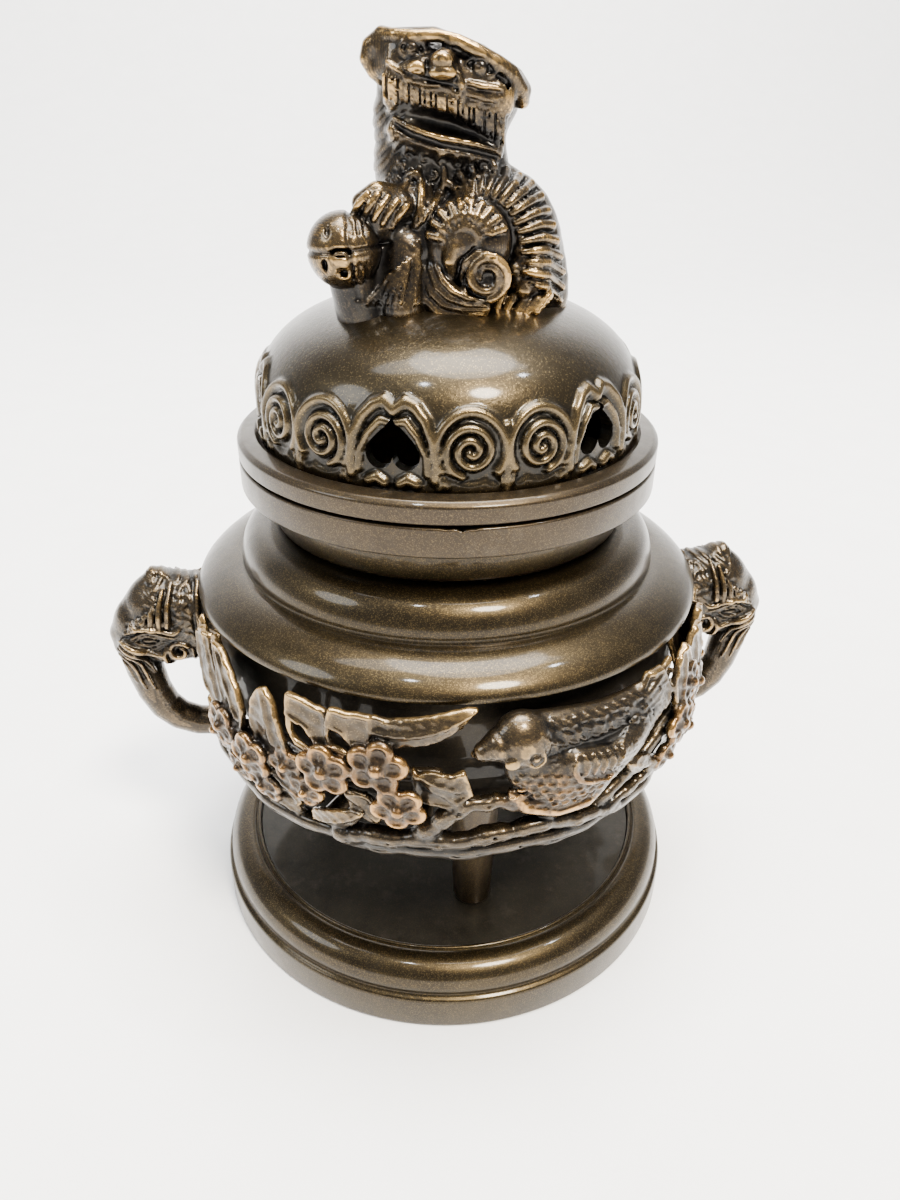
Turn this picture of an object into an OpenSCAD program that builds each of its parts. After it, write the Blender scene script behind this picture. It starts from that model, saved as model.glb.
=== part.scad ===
// Table incense burner: a lidded bowl with elephant handles on three legs and a round stand.
// A guardian lion stands on the pierced lid, and an openwork band of branches, leaves, blossoms
// and birds wraps the bowl. Millimetres, +Z up, origin on the table at the centre of the stand.
// The handles lie along X and the front is -Y. Azimuths are in degrees from the front towards +X.

/* [Stand] */
// Outer radius of the stand at the table
stand_r = 38.3; // [37.8:0.1:39]
// Height of the stand's rounded rim
stand_h = 10.8; // [10.6:0.1:11.2]
// Radius of the recessed plate
plate_r = 32.3; // [31.5:0.1:32.6]
// Height of the plate's top face
plate_z = 10; // [9.4:0.1:10.2]

/* [Legs] */
// Distance of each leg from the axis
leg_ring_r = 22; // [20:0.5:24]
// Azimuth of the front leg
leg_azimuth = 5; // [-15:1:15]
// Radius of a leg where it meets the bowl
leg_top_r = 3.8; // [3.4:0.1:4.4]
// Radius of a leg at its foot
leg_foot_r = 2.9; // [2.6:0.1:3.2]

/* [Bowl] */
// Greatest outer radius of the bowl
bowl_r = 35; // [34:0.5:36]
// Height of the bowl's widest ring
bowl_mid_z = 46.6; // [46:0.1:47]
// Depth of the bowl below its widest ring
bowl_drop = 20; // [19:0.5:21]
// Radius of the sharp lip around the shoulder
lip_r = 37; // [36.6:0.1:37.4]
// Height of that lip
lip_z = 58.2; // [57.9:0.1:58.4]

/* [Mouth] */
// Outer radius of the neck band
neck_r = 25.1; // [24.8:0.1:25.6]
// Outer radius of the mouth ring and of the lid's flange
mouth_r = 29.3; // [28.8:0.1:30]
// Height of the seam where the lid rests
seam_z = 77; // [76.7:0.1:77.3]

/* [Lid] */
// Greatest outer radius of the dome
dome_r = 26; // [25.6:0.1:26.2]
// Height of the top of the dome
dome_top_z = 98.2; // [97.5:0.1:99]
// Number of pierced hearts around the dome
heart_count = 6; // [3:1:6]
// Azimuth of the front heart
heart_azimuth = -21; // [-30:1:30]
// Thickness of the cast walls
wall = 2; // [1.8:0.1:2.2]

/* [Ornament] */
// Radius on which the branches lie
branch_r = 38.3; // [38:0.1:38.6]
// Azimuth that the lion's own front is turned by
lion_turn = -6.6; // [-30:0.1:30]

/* [Hidden] */
$fn = 96;
eps = 0.01;
big = 60;

// Stand
plate_t = 3;
ledge_z = plate_z - plate_t;
ledge_w = 2;
felt_t = 1;
felt_gap = 0.2;
felt_r = stand_r - 3.5;
rim_tube_r = 3.6;
rim_tube_z = stand_h - rim_tube_r;
rim_step = 0.8;
rim_skirt_z = 5.8;

// Screws
screw_r = 1.5;
screw_gap = 0.05;
head_r = 2.6;
head_t = 1.6;
leg_screw_depth = 6;

// Legs
leg_top_z = bowl_mid_z - bowl_drop * sqrt(1 - pow(leg_ring_r / bowl_r, 2)) + 1.2;
foot_round = 0.8;

// Bowl and shell
bowl_rise = 30;
bowl_rim_z = bowl_mid_z + 12;
shoulder_r = 30.2;
shoulder_z = 62.1;
torus_tube_r = 4.8;
torus_r = shoulder_r - torus_tube_r;
neck_groove_z = 67.3;
neck_top_z = 73.1;
neck_bore_r = 22.5;
mouth_edge = 0.3;

// Mouth ring, liner and lid
seat_bore_r = 25.5;
ledge_top_z = 74.1;
ledge_bore_r = 17.6;
liner_rim_r = 18.6;
liner_rim_t = 0.8;
liner_r = 16.8;
liner_t = 1;
liner_floor_z = 47.6;
spigot_r = 25.2;
spigot_bore_r = 23.6;
spigot_z = 75.2;
flange_top_z = 80.2;
dome_seat_z = 79.2;
dome_seat_r = 26.1;
dome_mid_z = 83.6;
dome_power = 0.8;
heart_z = 84.8;
heart_w = 4.3;
scroll_step = 21;
scroll_r = 2.7;
scroll_tube_r = 0.55;
top_screw_len = 12;
washer_r = 4;
washer_t = 0.8;
dome_in_top_z = dome_top_z - wall;

// Handles
handle_screw_z = 51;
handle_screw_len = 11;
handle_hole_depth = 7;
trunk_ring_r = 8.6;
trunk_tube_r = 2.9;
trunk_drop = 11.2;
trunk_sweep = 118;
trunk_x = 39.2;

// Leaves: azimuth, height of the middle, lean to the right in degrees, length
leaf_list = [
    [-62, 50.5, 14, 12], [-50, 51.5, -8, 12], [-40, 51, -14, 11], [-32, 51.5, 4, 12],
    [-25, 51.5, 10, 12], [-10, 52.5, 62, 16], [35, 52.5, 22, 10], [47, 51.5, 28, 12],
    [61, 51, -12, 12], [-52, 41.6, 160, 10], [50, 42, 200, 10], [-24, 39.2, 118, 10]];
// Blossoms: azimuth, height, radius
blossom_list = [
    [-66, 45.6, 3.4], [-58, 39, 3], [-45, 44, 3.4], [-38, 39.5, 3], [-28, 47.6, 3.7],
    [-17, 50.6, 3.6], [-15, 42.8, 3.4], [-27.5, 41.5, 2.8], [54, 47.6, 3.4], [61, 42.6, 3.3],
    [67, 48.6, 3], [53, 40, 2.9]];
// Twigs that carry them: two azimuths and two heights
twig_list = [
    [-66, 35.6, -58, 46], [-58, 46, -30, 42.6], [-30, 42.6, -14, 47.6], [-24, 33, -6, 41],
    [-6, 41, 22, 38.6], [22, 38.6, 34, 33], [38, 33.6, 50, 46], [50, 46, 66, 42.6]];
branch_z = 33;
branch_span = 144;
// Short stems that tie the branches to the bowl: azimuths
stem_list = [-68, -35, -12, 30, 52];

// Lion, in its own frame: x to the right of its front view, y to the back, z up from the dome's
// top. Each limb is a start point, its radius, an end point and its radius.
lion_body_limbs = [
    [[-1, 1, 1.4], 8.2, [4, 2, 0.4], 9.2],
    [[1, 2, 5], 8.2, [-1, 1, 14], 7.2],
    [[-6.6, -4, 10], 3.6, [-9, -9, 8.6], 2.6],
    [[-5.6, -7, 5], 3, [-6, -10.5, -0.6], 2.6],
    [[-4, 7, 10], 4, [-8, 8, -1], 3.6]];
lion_head_limbs = [
    [[-3, 0, 15.4], 6.8, [3, 0, 15.4], 6.4],
    [[-4.5, -1, 22.2], 4.9, [4.5, -1, 20.8], 5.1],
    [[-6.4, -2, 25.6], 2.2, [6, -1, 23.8], 2.6],
    [[-3, -6.4, 22.2], 3.4, [2.4, -6.4, 20.8], 3.4],
    [[-7, -2, 24.8], 1.9, [-8.4, -2, 22.2], 1.6],
    [[7, -1, 23.2], 2, [9, -1, 19.7], 1.6]];
lion_haunch_limbs = [
    [[3.2, -7.6, 4.4], 6.4, [3.4, -9, 1.3], 5.6],
    [[11, -3, 5], 6.2, [11.6, -1, 1], 5.6],
    [[8, 2, 2], 8.4, [7, 3, 6], 7.2],
    [[3.2, 8.6, 5], 6, [4, 9.6, 1], 4.8]];
lion_ball_limbs = [
    [[-12.4, -9.5, 4.2], 4.6, [-12.4, -9.5, 3.4], 4.4],
    [[-12, -9, 0.6], 3, [-12, -9, -3], 2.4]];

function polar(az, r, z) = [r * sin(az), -r * cos(az), z];
function belly_lean(z) = (z - bowl_mid_z) * (z > bowl_mid_z ? 0.6 : 1.4);
function belly_r(z) = branch_r * sqrt(1 - pow((z - bowl_mid_z) / (z > bowl_mid_z ? 52 : 33), 2));

// Points of the bowl's wall from the centre of its floor to its rim
function bowl_curve(inset) = concat(
    [for (t = [0:6:90]) [(bowl_r - inset) * sin(t), bowl_mid_z - (bowl_drop - inset) * cos(t)]],
    [for (t = [3:3:21]) [(bowl_r - inset) * cos(t), bowl_mid_z + bowl_rise * sin(t)]],
    [[(bowl_r - inset) * cos(21) - 0.6, bowl_rim_z]]);

// Points of the dome's curve from its foot to its top
function dome_curve(r, top) = [
    for (t = [0:6:90]) [r * pow(cos(t), dome_power), dome_mid_z + (top - dome_mid_z) * pow(sin(t), dome_power)]];

module at_azimuth(az, r, z, lean = 0) {
    rotate([0, 0, az]) translate([0, -r, z]) rotate([90 + lean, 0, 0]) children();
}

module blob(p, r) {
    translate(p) sphere(r = r, $fn = 16);
}

module limb(a, ra, b, rb) {
    hull() {
        blob(a, ra);
        blob(b, rb);
    }
}

module ring_section(r1, r2, z1, z2) {
    translate([r1, z1]) square([r2 - r1, z2 - z1]);
}

// Stand ------------------------------------------------------------------------------------

module base_ring() {
    color("#3b352b") rotate_extrude() difference() {
        union() {
            ring_section(plate_r, stand_r, 0, rim_skirt_z);
            ring_section(plate_r, stand_r - rim_step - rim_tube_r, 0, plate_z + 0.3);
            translate([stand_r - rim_step - rim_tube_r, rim_tube_z]) circle(rim_tube_r);
            ring_section(plate_r - ledge_w, plate_r, 0, ledge_z);
        }
        ring_section(0, felt_r + felt_gap, -1, felt_t + felt_gap);
        ring_section(0, plate_r, ledge_z, big);
    }
}

module base_plate() {
    color("#2b2822") difference() {
        translate([0, 0, ledge_z]) cylinder(r = plate_r - screw_gap, h = plate_t);
        for_each_leg() cylinder(r = screw_r + screw_gap, h = big, center = true);
    }
}

module felt_pad() {
    color("#23402f") translate([0, 0, felt_gap]) cylinder(r = felt_r, h = felt_t);
}

// Legs -------------------------------------------------------------------------------------

module for_each_leg() {
    for (i = [0:2]) translate(polar(leg_azimuth + 120 * i, leg_ring_r, 0)) children();
}

module leg(i) {
    color("#4a4334") translate(polar(leg_azimuth + 120 * i, leg_ring_r, 0)) difference() {
        rotate_extrude() union() {
            polygon([[0, plate_z], [leg_foot_r - foot_round, plate_z], [leg_foot_r, plate_z + foot_round],
                [leg_top_r, leg_top_z], [0, leg_top_z]]);
            translate([leg_foot_r - foot_round, plate_z]) intersection() {
                translate([0, foot_round]) circle(foot_round);
                square(2 * foot_round);
            }
        }
        translate([0, 0, plate_z - 1]) cylinder(r = screw_r, h = leg_screw_depth + 1);
    }
}

module pan_screw(length) {
    translate([0, 0, -head_t]) cylinder(r = head_r, h = head_t);
    cylinder(r = screw_r, h = length);
}

module leg_screws() {
    color("#9a958a") for_each_leg() translate([0, 0, ledge_z])
        pan_screw(plate_t + leg_screw_depth - 0.5);
}

// Bowl and shell ---------------------------------------------------------------------------

module bowl_solid(inset) {
    rotate_extrude() polygon(concat(bowl_curve(inset), [[0, bowl_rim_z]]));
}

module bowl() {
    color("#2e2a22") difference() {
        bowl_solid(0);
        bowl_solid(wall);
        translate([0, 0, bowl_rim_z]) cylinder(r = bowl_r, h = 1, center = true);
        for (side = [-1, 1]) translate([0, 0, handle_screw_z]) rotate([0, side * 90, 0])
            cylinder(r = screw_r + screw_gap, h = big);
    }
}

module upper_shell() {
    root_r = bowl_r - wall - 0.2;
    root_z = bowl_rim_z - 1.4;
    color("#4b4334") difference() {
        union() {
            rotate_extrude() polygon([[0, neck_top_z], [neck_r, neck_top_z], [neck_r, neck_groove_z + 0.6],
                [neck_r - 0.7, neck_groove_z], [neck_r - 0.7, shoulder_z + 1], [shoulder_r - 0.9, shoulder_z + 1],
                [shoulder_r + 0.3, shoulder_z - 0.1], [33.8, lip_z + 2.7], [36, lip_z + 1.3],
                [lip_r - 0.2, lip_z + 0.3], [lip_r, lip_z - 0.3], [lip_r - 0.6, lip_z - 0.8],
                [root_r, root_z], [0, root_z]]);
            rotate_extrude() translate([torus_r, neck_groove_z - torus_tube_r]) circle(torus_tube_r);
        }
        cylinder(r = neck_bore_r, h = big * 2);
        rotate_extrude() polygon([[0, 0], [root_r - wall, 0], [root_r - wall, root_z + 1.6],
            [shoulder_r - 2.6, shoulder_z - wall], [0, shoulder_z - wall]]);
    }
}

module mouth_ring() {
    color("#6b6250") rotate_extrude() difference() {
        polygon([[ledge_bore_r, neck_top_z], [mouth_r - mouth_edge, neck_top_z],
            [mouth_r, neck_top_z + mouth_edge], [mouth_r, seam_z - mouth_edge],
            [mouth_r - mouth_edge, seam_z], [seat_bore_r, seam_z], [seat_bore_r, ledge_top_z],
            [ledge_bore_r, ledge_top_z]]);
    }
}

module ash_liner() {
    color("#b87748") rotate_extrude() difference() {
        union() {
            ring_section(0, liner_r, liner_floor_z, ledge_top_z + liner_rim_t);
            ring_section(0, liner_rim_r, ledge_top_z, ledge_top_z + liner_rim_t);
        }
        ring_section(-1, liner_r - liner_t, liner_floor_z + liner_t, big * 2);
    }
}

// Handles ----------------------------------------------------------------------------------

module elephant_handle() {
    difference() {
        translate([0, 0, handle_screw_z]) union() {
            hull() {
                for (y = [-2.4, 2.4]) {
                    blob([39.3, y, 3], 3.6);
                    blob([39.3, y, -3.4], 3.2);
                    blob([44.6, y, 2.4], 3.2);
                    blob([45, y, -3.4], 3);
                }
            }
            limb([43.4, 0, 5.2], 3, [49.3, 0, -3], 2.5);
            limb([47.6, 0, -5], 3.6, [trunk_x + trunk_ring_r, 0, -trunk_drop], trunk_tube_r);
            translate([trunk_x, 0, -trunk_drop]) rotate([90, 0, 0]) rotate([0, 0, -trunk_sweep])
                rotate_extrude(angle = trunk_sweep) translate([trunk_ring_r, 0]) circle(trunk_tube_r, $fn = 32);
            translate([bowl_r - 1, 0, 0]) rotate([0, 90, 0]) cylinder(r = 5, h = 5);
        }
        translate([bowl_r - 6, 0, handle_screw_z]) rotate([0, 90, 0])
            cylinder(r = screw_r, h = handle_hole_depth + 6);
        bowl_solid(-0.02);
    }
}

module elephant_handle_right() {
    color("#5d5341") elephant_handle();
}

module elephant_handle_left() {
    color("#5d5341") rotate([0, 0, 180]) elephant_handle();
}

module handle_screws() {
    seat = bowl_r - wall - 0.9;
    color("#9a958a") for (side = [0, 180]) rotate([0, 0, side]) translate([seat, 0, handle_screw_z])
        rotate([0, 90, 0]) pan_screw(handle_screw_len - 2);
}

// Openwork band ----------------------------------------------------------------------------

module twig(a, r) {
    p = polar(a[0], belly_r(a[1]), a[1]);
    q = polar(a[2], belly_r(a[3]), a[3]);
    d = q - p;
    translate(p) rotate([0, acos(d[2] / norm(d)), atan2(d[1], d[0])]) cylinder(r = r, h = norm(d), $fn = 24);
    for (end = [p, q]) translate(end) sphere(r = r + 0.2, $fn = 24);
}

module branches() {
    color("#6a5f4a") {
        rotate([0, 0, -90 - branch_span / 2]) rotate_extrude(angle = branch_span)
            translate([belly_r(branch_z), branch_z]) circle(1.7, $fn = 32);
        for (t = twig_list) twig(t, 1.3);
        for (az = stem_list) at_azimuth(az, 24.7, branch_z) cylinder(r = 1.5, h = 10, $fn = 24);
    }
}

module leaf(az, z, lean, length) {
    fat = length * 0.36;
    bow = (pow(length / 2, 2) - pow(fat / 1.4, 2)) / (2 * fat / 1.4);
    at_azimuth(az, belly_r(z) + 1.6, z, -belly_lean(z) * 0.8) rotate([0, 0, -lean]) linear_extrude(1.5)
        intersection() {
            translate([bow, 0]) circle(bow + fat / 1.4);
            translate([-bow, 0]) circle(bow + fat / 1.4);
        }
}

module leaves() {
    color("#75694f") for (l = leaf_list) leaf(l[0], l[1], l[2], l[3]);
}

module blossom(az, z, r) {
    at_azimuth(az, belly_r(z) + 1.8, z, -belly_lean(z)) {
        linear_extrude(1.8) polygon([for (t = [0:12:348]) r * (0.8 + 0.2 * cos(5 * t)) * [cos(t), sin(t)]]);
        translate([0, 0, 0.6]) cylinder(r = r * 0.4, h = 1.8, $fn = 24);
    }
}

module blossoms() {
    color("#9a6b3c") for (b = blossom_list) blossom(b[0], b[1], b[2]);
}

module bird() {
    color("#7d6a48") {
        limb(polar(15, 38.6, 45.4), 4.6, polar(27, 38, 47.6), 3.9);
        limb(polar(27, 38, 47.6), 3.9, polar(40, 38, 52), 1.8);
        limb(polar(8.5, 39, 50.2), 3.8, polar(15, 38.6, 45.4), 4.6);
        limb(polar(5, 40, 49.6), 2.2, polar(-1.5, 39.6, 49.4), 0.7);
    }
}

module rear() {
    rotate([0, 0, 180]) children();
}

// Lid --------------------------------------------------------------------------------------

module lid_flange() {
    color("#6b6250") rotate_extrude()
        polygon([[spigot_bore_r, spigot_z], [spigot_r - mouth_edge, spigot_z],
            [spigot_r, spigot_z + mouth_edge], [spigot_r, seam_z], [mouth_r - mouth_edge, seam_z],
            [mouth_r, seam_z + mouth_edge], [mouth_r, flange_top_z - 0.5],
            [mouth_r - 0.15, flange_top_z - 0.15], [mouth_r - 0.5, flange_top_z],
            [dome_seat_r + 0.7, flange_top_z + 0.2], [dome_seat_r + 0.15, flange_top_z - 0.3],
            [dome_seat_r, flange_top_z - 0.4], [dome_seat_r, dome_seat_z], [spigot_bore_r, dome_seat_z]]);
}

module heart(w) {
    for (side = [-1, 1]) {
        translate([side * w * 0.48, -w * 0.42]) circle(w * 0.52, $fn = 32);
    }
    polygon([[-w * 0.94, -w * 0.18], [0, w * 0.95], [w * 0.94, -w * 0.18], [0, -w * 0.55]]);
}

module dome_solid(inset) {
    rotate_extrude() polygon(concat(
        [[0, dome_seat_z - (inset > 0 ? 1 : 0)], [dome_r - inset, dome_seat_z - (inset > 0 ? 1 : 0)]],
        dome_curve(dome_r - inset, dome_top_z - inset)));
}

module lid_dome() {
    color("#4f4635") difference() {
        dome_solid(0);
        dome_solid(wall);
        for (i = [0:heart_count - 1])
            at_azimuth(heart_azimuth + i * 360 / heart_count, dome_r - 6, heart_z) linear_extrude(10) heart(heart_w);
        translate([0, 0, dome_top_z - 5]) cylinder(r = screw_r + screw_gap, h = 10);
    }
}

module lid_scrolls() {
    color("#6b6250") for (i = [0:heart_count - 1]) for (side = [-1, 1])
        at_azimuth(heart_azimuth + i * 360 / heart_count + side * scroll_step, dome_r - 0.5, heart_z, 3)
            rotate_extrude() translate([scroll_r, 0]) circle(scroll_tube_r, $fn = 24);
}

// Limbs of the lion, cut off where they meet the dome and hollowed for the screw
module lion_part(limbs) {
    color("#5d5341") difference() {
        translate([0, 0, dome_top_z + 1.2]) rotate([0, 0, lion_turn])
            for (l = limbs) limb(l[0], l[1], l[2], l[3]);
        dome_solid(-0.03);
        translate([0, 0, dome_top_z - 1]) cylinder(r = screw_r, h = top_screw_len, $fn = 24);
    }
}

module finial_screw() {
    color("#9a958a") translate([0, 0, dome_in_top_z - washer_t]) pan_screw(top_screw_len);
}

module finial_washer() {
    color("#9a958a") translate([0, 0, dome_in_top_z - washer_t]) difference() {
        cylinder(r = washer_r, h = washer_t - eps);
        translate([0, 0, -1]) cylinder(r = screw_r + screw_gap, h = 3);
    }
}

base_ring();
base_plate();
felt_pad();
leg(0);  // leg_front
leg(1);  // leg_right
leg(2);  // leg_left
leg_screws();
bowl();
upper_shell();
mouth_ring();
ash_liner();
elephant_handle_left();
elephant_handle_right();
handle_screws();
branches();  // branches_front
rear() branches();  // branches_rear
leaves();  // leaves_front
rear() leaves();  // leaves_rear
blossoms();  // blossoms_front
rear() blossoms();  // blossoms_rear
bird();  // bird_front
rear() bird();  // bird_rear
lid_flange();
lid_dome();
lid_scrolls();
lion_part(lion_body_limbs);  // lion_body
lion_part(lion_head_limbs);  // lion_head
lion_part(lion_haunch_limbs);  // lion_haunches
lion_part(lion_ball_limbs);  // lion_ball
finial_screw();
finial_washer();
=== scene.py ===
import math
import bmesh
import bpy
import numpy as np
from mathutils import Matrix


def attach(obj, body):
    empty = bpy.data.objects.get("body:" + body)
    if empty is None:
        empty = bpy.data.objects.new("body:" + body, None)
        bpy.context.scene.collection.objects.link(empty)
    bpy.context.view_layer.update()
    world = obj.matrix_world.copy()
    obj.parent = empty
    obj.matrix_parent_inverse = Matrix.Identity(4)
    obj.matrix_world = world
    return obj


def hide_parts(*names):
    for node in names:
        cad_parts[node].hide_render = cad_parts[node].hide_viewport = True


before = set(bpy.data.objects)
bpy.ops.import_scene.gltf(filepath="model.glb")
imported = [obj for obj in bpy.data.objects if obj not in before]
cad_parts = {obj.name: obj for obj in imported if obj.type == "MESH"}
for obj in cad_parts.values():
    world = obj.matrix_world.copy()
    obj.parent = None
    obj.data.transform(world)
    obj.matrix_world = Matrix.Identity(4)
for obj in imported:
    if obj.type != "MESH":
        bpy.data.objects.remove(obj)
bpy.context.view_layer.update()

import openvdb
from mathutils import Matrix, Vector

MM = 0.001


def col(r, g, b):
    return (r, g, b, 1.0)


# ---------------------------------------------------------------- materials
class Nodes:
    """A small helper that builds a node tree."""
    def __init__(self, name):
        self.mat = bpy.data.materials.new(name)
        self.mat.use_nodes = True
        self.t = self.mat.node_tree
        self.t.nodes.clear()
        self.out = self.add("ShaderNodeOutputMaterial")
        self.bsdf = self.add("ShaderNodeBsdfPrincipled")
        self.link(self.bsdf.outputs[0], self.out.inputs[0])

    def add(self, kind, **kw):
        n = self.t.nodes.new(kind)
        for k, v in kw.items():
            setattr(n, k, v)
        return n

    def link(self, a, b):
        self.t.links.new(a, b)

    def put(self, sock, v):
        if isinstance(v, bpy.types.NodeSocket):
            self.link(v, sock)
        else:
            sock.default_value = v

    def coords(self):
        return self.add("ShaderNodeTexCoord").outputs["Object"]

    def noise(self, scale, detail=4.0, rough=0.55):
        n = self.add("ShaderNodeTexNoise")
        n.inputs["Scale"].default_value = scale
        n.inputs["Detail"].default_value = detail
        n.inputs["Roughness"].default_value = rough
        self.link(self.coords(), n.inputs["Vector"])
        return n.outputs[0]

    def cells(self, scale):
        """One random grey a cell."""
        n = self.add("ShaderNodeTexVoronoi")
        n.inputs["Scale"].default_value = scale
        self.link(self.coords(), n.inputs["Vector"])
        split = self.add("ShaderNodeSeparateColor")
        self.link(n.outputs["Color"], split.inputs[0])
        return split.outputs[0]

    def attr(self, name):
        return self.add("ShaderNodeAttribute", attribute_name=name).outputs["Fac"]

    def ramp(self, fac, stops):
        n = self.add("ShaderNodeValToRGB")
        e = n.color_ramp.elements
        while len(e) < len(stops):
            e.new(0.5)
        for el, (p, c) in zip(e, stops):
            el.position = p
            el.color = c if isinstance(c, tuple) else (c, c, c, 1)
        self.put(n.inputs[0], fac)
        return n.outputs[0]

    def mix(self, fac, a, b):
        n = self.add("ShaderNodeMix", data_type="RGBA")
        self.put(n.inputs[0], fac)
        self.put(n.inputs[6], a)
        self.put(n.inputs[7], b)
        return n.outputs[2]

    def sum(self, a, b):
        return self.calc("ADD", a, b)

    def times(self, a, b):
        return self.calc("MULTIPLY", a, b)

    def swing(self, a, size):
        """A noise value moved to swing about zero."""
        return self.times(self.calc("SUBTRACT", a, 0.5), size)

    def calc(self, op, a, b):
        n = self.add("ShaderNodeMath", operation=op)
        self.put(n.inputs[0], a)
        self.put(n.inputs[1], b)
        return n.outputs[0]

    def bump(self, height, strength, dist, normal=None):
        n = self.add("ShaderNodeBump")
        n.inputs["Strength"].default_value = strength
        n.inputs["Distance"].default_value = dist
        self.put(n.inputs["Height"], height)
        if normal is not None:
            self.link(normal, n.inputs["Normal"])
        return n.outputs[0]

    def set(self, **kw):
        for k, v in kw.items():
            self.put(self.bsdf.inputs[k.replace("_", " ")], v)
        return self.mat


def mat_lacquer(name, dark, light, rough=(0.30, 0.40), flake=0.30, dust=0.08):
    """Metallic lacquer: cloudy colour, fine flake, faint orange peel and dust in patches."""
    m = Nodes(name)
    base = m.ramp(m.noise(90, 5, 0.6), [(0.3, dark), (0.72, light)])
    cells = m.cells(11000)
    spark = m.ramp(cells, [(0.72, 0.0), (0.99, 1.0)])
    base = m.mix(m.times(spark, flake), base, col(0.24, 0.165, 0.065))
    grime = m.ramp(m.noise(260, 6, 0.7), [(0.55, 0.0), (0.8, 1.0)])
    base = m.mix(m.times(grime, dust), base, col(0.10, 0.088, 0.07))
    r = m.ramp(m.noise(420, 4, 0.6), [(0.25, rough[0]), (0.8, rough[1])])
    normal = m.bump(cells, 0.14, 0.00003)
    normal = m.bump(m.noise(700, 3, 0.5), 0.12, 0.0001, normal)
    return m.set(Base_Color=base, Metallic=0.90, Roughness=r, Normal=normal,
        Coat_Weight=0.26, Coat_Roughness=0.08)


def mat_cast(name, tones, crown=0.70, rough=(0.22, 0.42), grain=900, warm=None):
    """Cast relief from its cavity values: tones for recess, face, high point and rubbed point.
    crown is the value where the high tone is full; warm is a second set of tones for copper parts."""
    m = Nodes(name)
    # On the lion and the bird, cav also holds painted shade and a painted highlight.
    cavity, coarse, fine = m.attr("cav"), m.noise(160, 5, 0.65), m.noise(620, 5, 0.6)
    v = m.sum(m.sum(cavity, m.swing(coarse, 0.30)), m.swing(fine, 0.16))
    base = m.ramp(v, list(zip((0.20, 0.46, crown, crown + 0.20), tones)))
    if warm is not None:
        base = m.mix(m.attr("warm"), base, m.ramp(v, list(zip((0.20, 0.44, 0.62, 0.85), warm))))
    spark = m.ramp(m.cells(9000), [(0.86, 0.0), (0.99, 1.0)])
    base = m.mix(m.times(m.times(spark, cavity), 0.35), base, col(0.42, 0.30, 0.13))
    dust = m.ramp(m.noise(240, 6, 0.7), [(0.5, 0.0), (0.75, 0.30)])
    dust = m.times(dust, m.ramp(cavity, [(0.20, 0.8), (0.50, 0.0)]))
    base = m.mix(dust, base, col(0.14, 0.125, 0.10))
    r = m.sum(m.ramp(v, [(0.3, rough[1]), (0.7, rough[0])]), m.swing(fine, 0.15))
    normal = m.bump(m.noise(grain, 6, 0.65), 0.30, 0.00016)
    normal = m.bump(m.noise(grain * 3.1, 3, 0.6), 0.2, 0.00006, normal)
    return m.set(Base_Color=base, Metallic=0.88, Roughness=r, Normal=normal,
        Coat_Weight=0.30, Coat_Roughness=0.10)


M_LACQ = mat_lacquer("lacquered_bronze", col(0.013, 0.009, 0.004), col(0.032, 0.0225, 0.0095))
M_BAND = mat_lacquer("lacquered_band", col(0.019, 0.013, 0.0072), col(0.036, 0.0255, 0.0145),
    (0.34, 0.46), 0.25, 0.2)
M_PLATE = mat_lacquer("dark_plate", col(0.012, 0.0105, 0.0085), col(0.030, 0.027, 0.021),
    (0.45, 0.68), 0.08, 0.35)
M_BOWL = mat_lacquer("dark_bowl", col(0.008, 0.0065, 0.005), col(0.020, 0.016, 0.011), (0.5, 0.7), 0.06, 0.1)
BRONZE = (col(0.003, 0.0024, 0.002), col(0.028, 0.020, 0.0115), col(0.068, 0.047, 0.025),
    col(0.30, 0.19, 0.072))
GILT = (col(0.004, 0.003, 0.0025), col(0.028, 0.0195, 0.011), col(0.085, 0.056, 0.025),
    col(0.42, 0.255, 0.085))
OLIVE = (col(0.008, 0.0065, 0.004), col(0.022, 0.0155, 0.0066), col(0.034, 0.024, 0.0105),
    col(0.09, 0.062, 0.027))
RUBBED = (col(0.012, 0.007, 0.004), col(0.034, 0.021, 0.0105), col(0.125, 0.066, 0.024),
    col(0.46, 0.245, 0.07))
M_CAST = mat_cast("cast_bronze", BRONZE)
M_LION = mat_cast("cast_lion", GILT, 0.69)
M_DOME = mat_cast("dome_lacquer", OLIVE, rough=(0.25, 0.36), grain=1500)
M_COPPER = mat_cast("copper_relief", BRONZE, warm=RUBBED)


def mat_felt():
    m = Nodes("felt")
    f = m.noise(1400, 8, 0.75)
    c = m.ramp(f, [(0.3, col(0.035, 0.085, 0.055)), (0.75, col(0.07, 0.15, 0.10))])
    return m.set(Base_Color=c, Roughness=0.95, Normal=m.bump(f, 0.8, 0.0004), Sheen_Weight=0.4)


def mat_liner():
    m = Nodes("brass_liner")
    n = m.noise(120, 6, 0.6)
    c = m.ramp(n, [(0.3, col(0.36, 0.25, 0.12)), (0.6, col(0.52, 0.37, 0.17)),
        (0.85, col(0.30, 0.20, 0.13))])
    r = m.ramp(m.noise(300, 4, 0.6), [(0.3, 0.28), (0.8, 0.5)])
    return m.set(Base_Color=c, Metallic=1.0, Roughness=r, Normal=m.bump(m.noise(1500, 3, 0.5), 0.15, 0.0001))


def mat_steel():
    m = Nodes("zinc_steel")
    n = m.noise(500, 5, 0.6)
    c = m.ramp(n, [(0.3, col(0.36, 0.35, 0.33)), (0.8, col(0.58, 0.57, 0.55))])
    r = m.ramp(n, [(0.3, 0.3), (0.8, 0.5)])
    return m.set(Base_Color=c, Metallic=1.0, Roughness=r, Normal=m.bump(n, 0.2, 0.0001))


M_FELT, M_LINER, M_STEEL = mat_felt(), mat_liner(), mat_steel()


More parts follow.
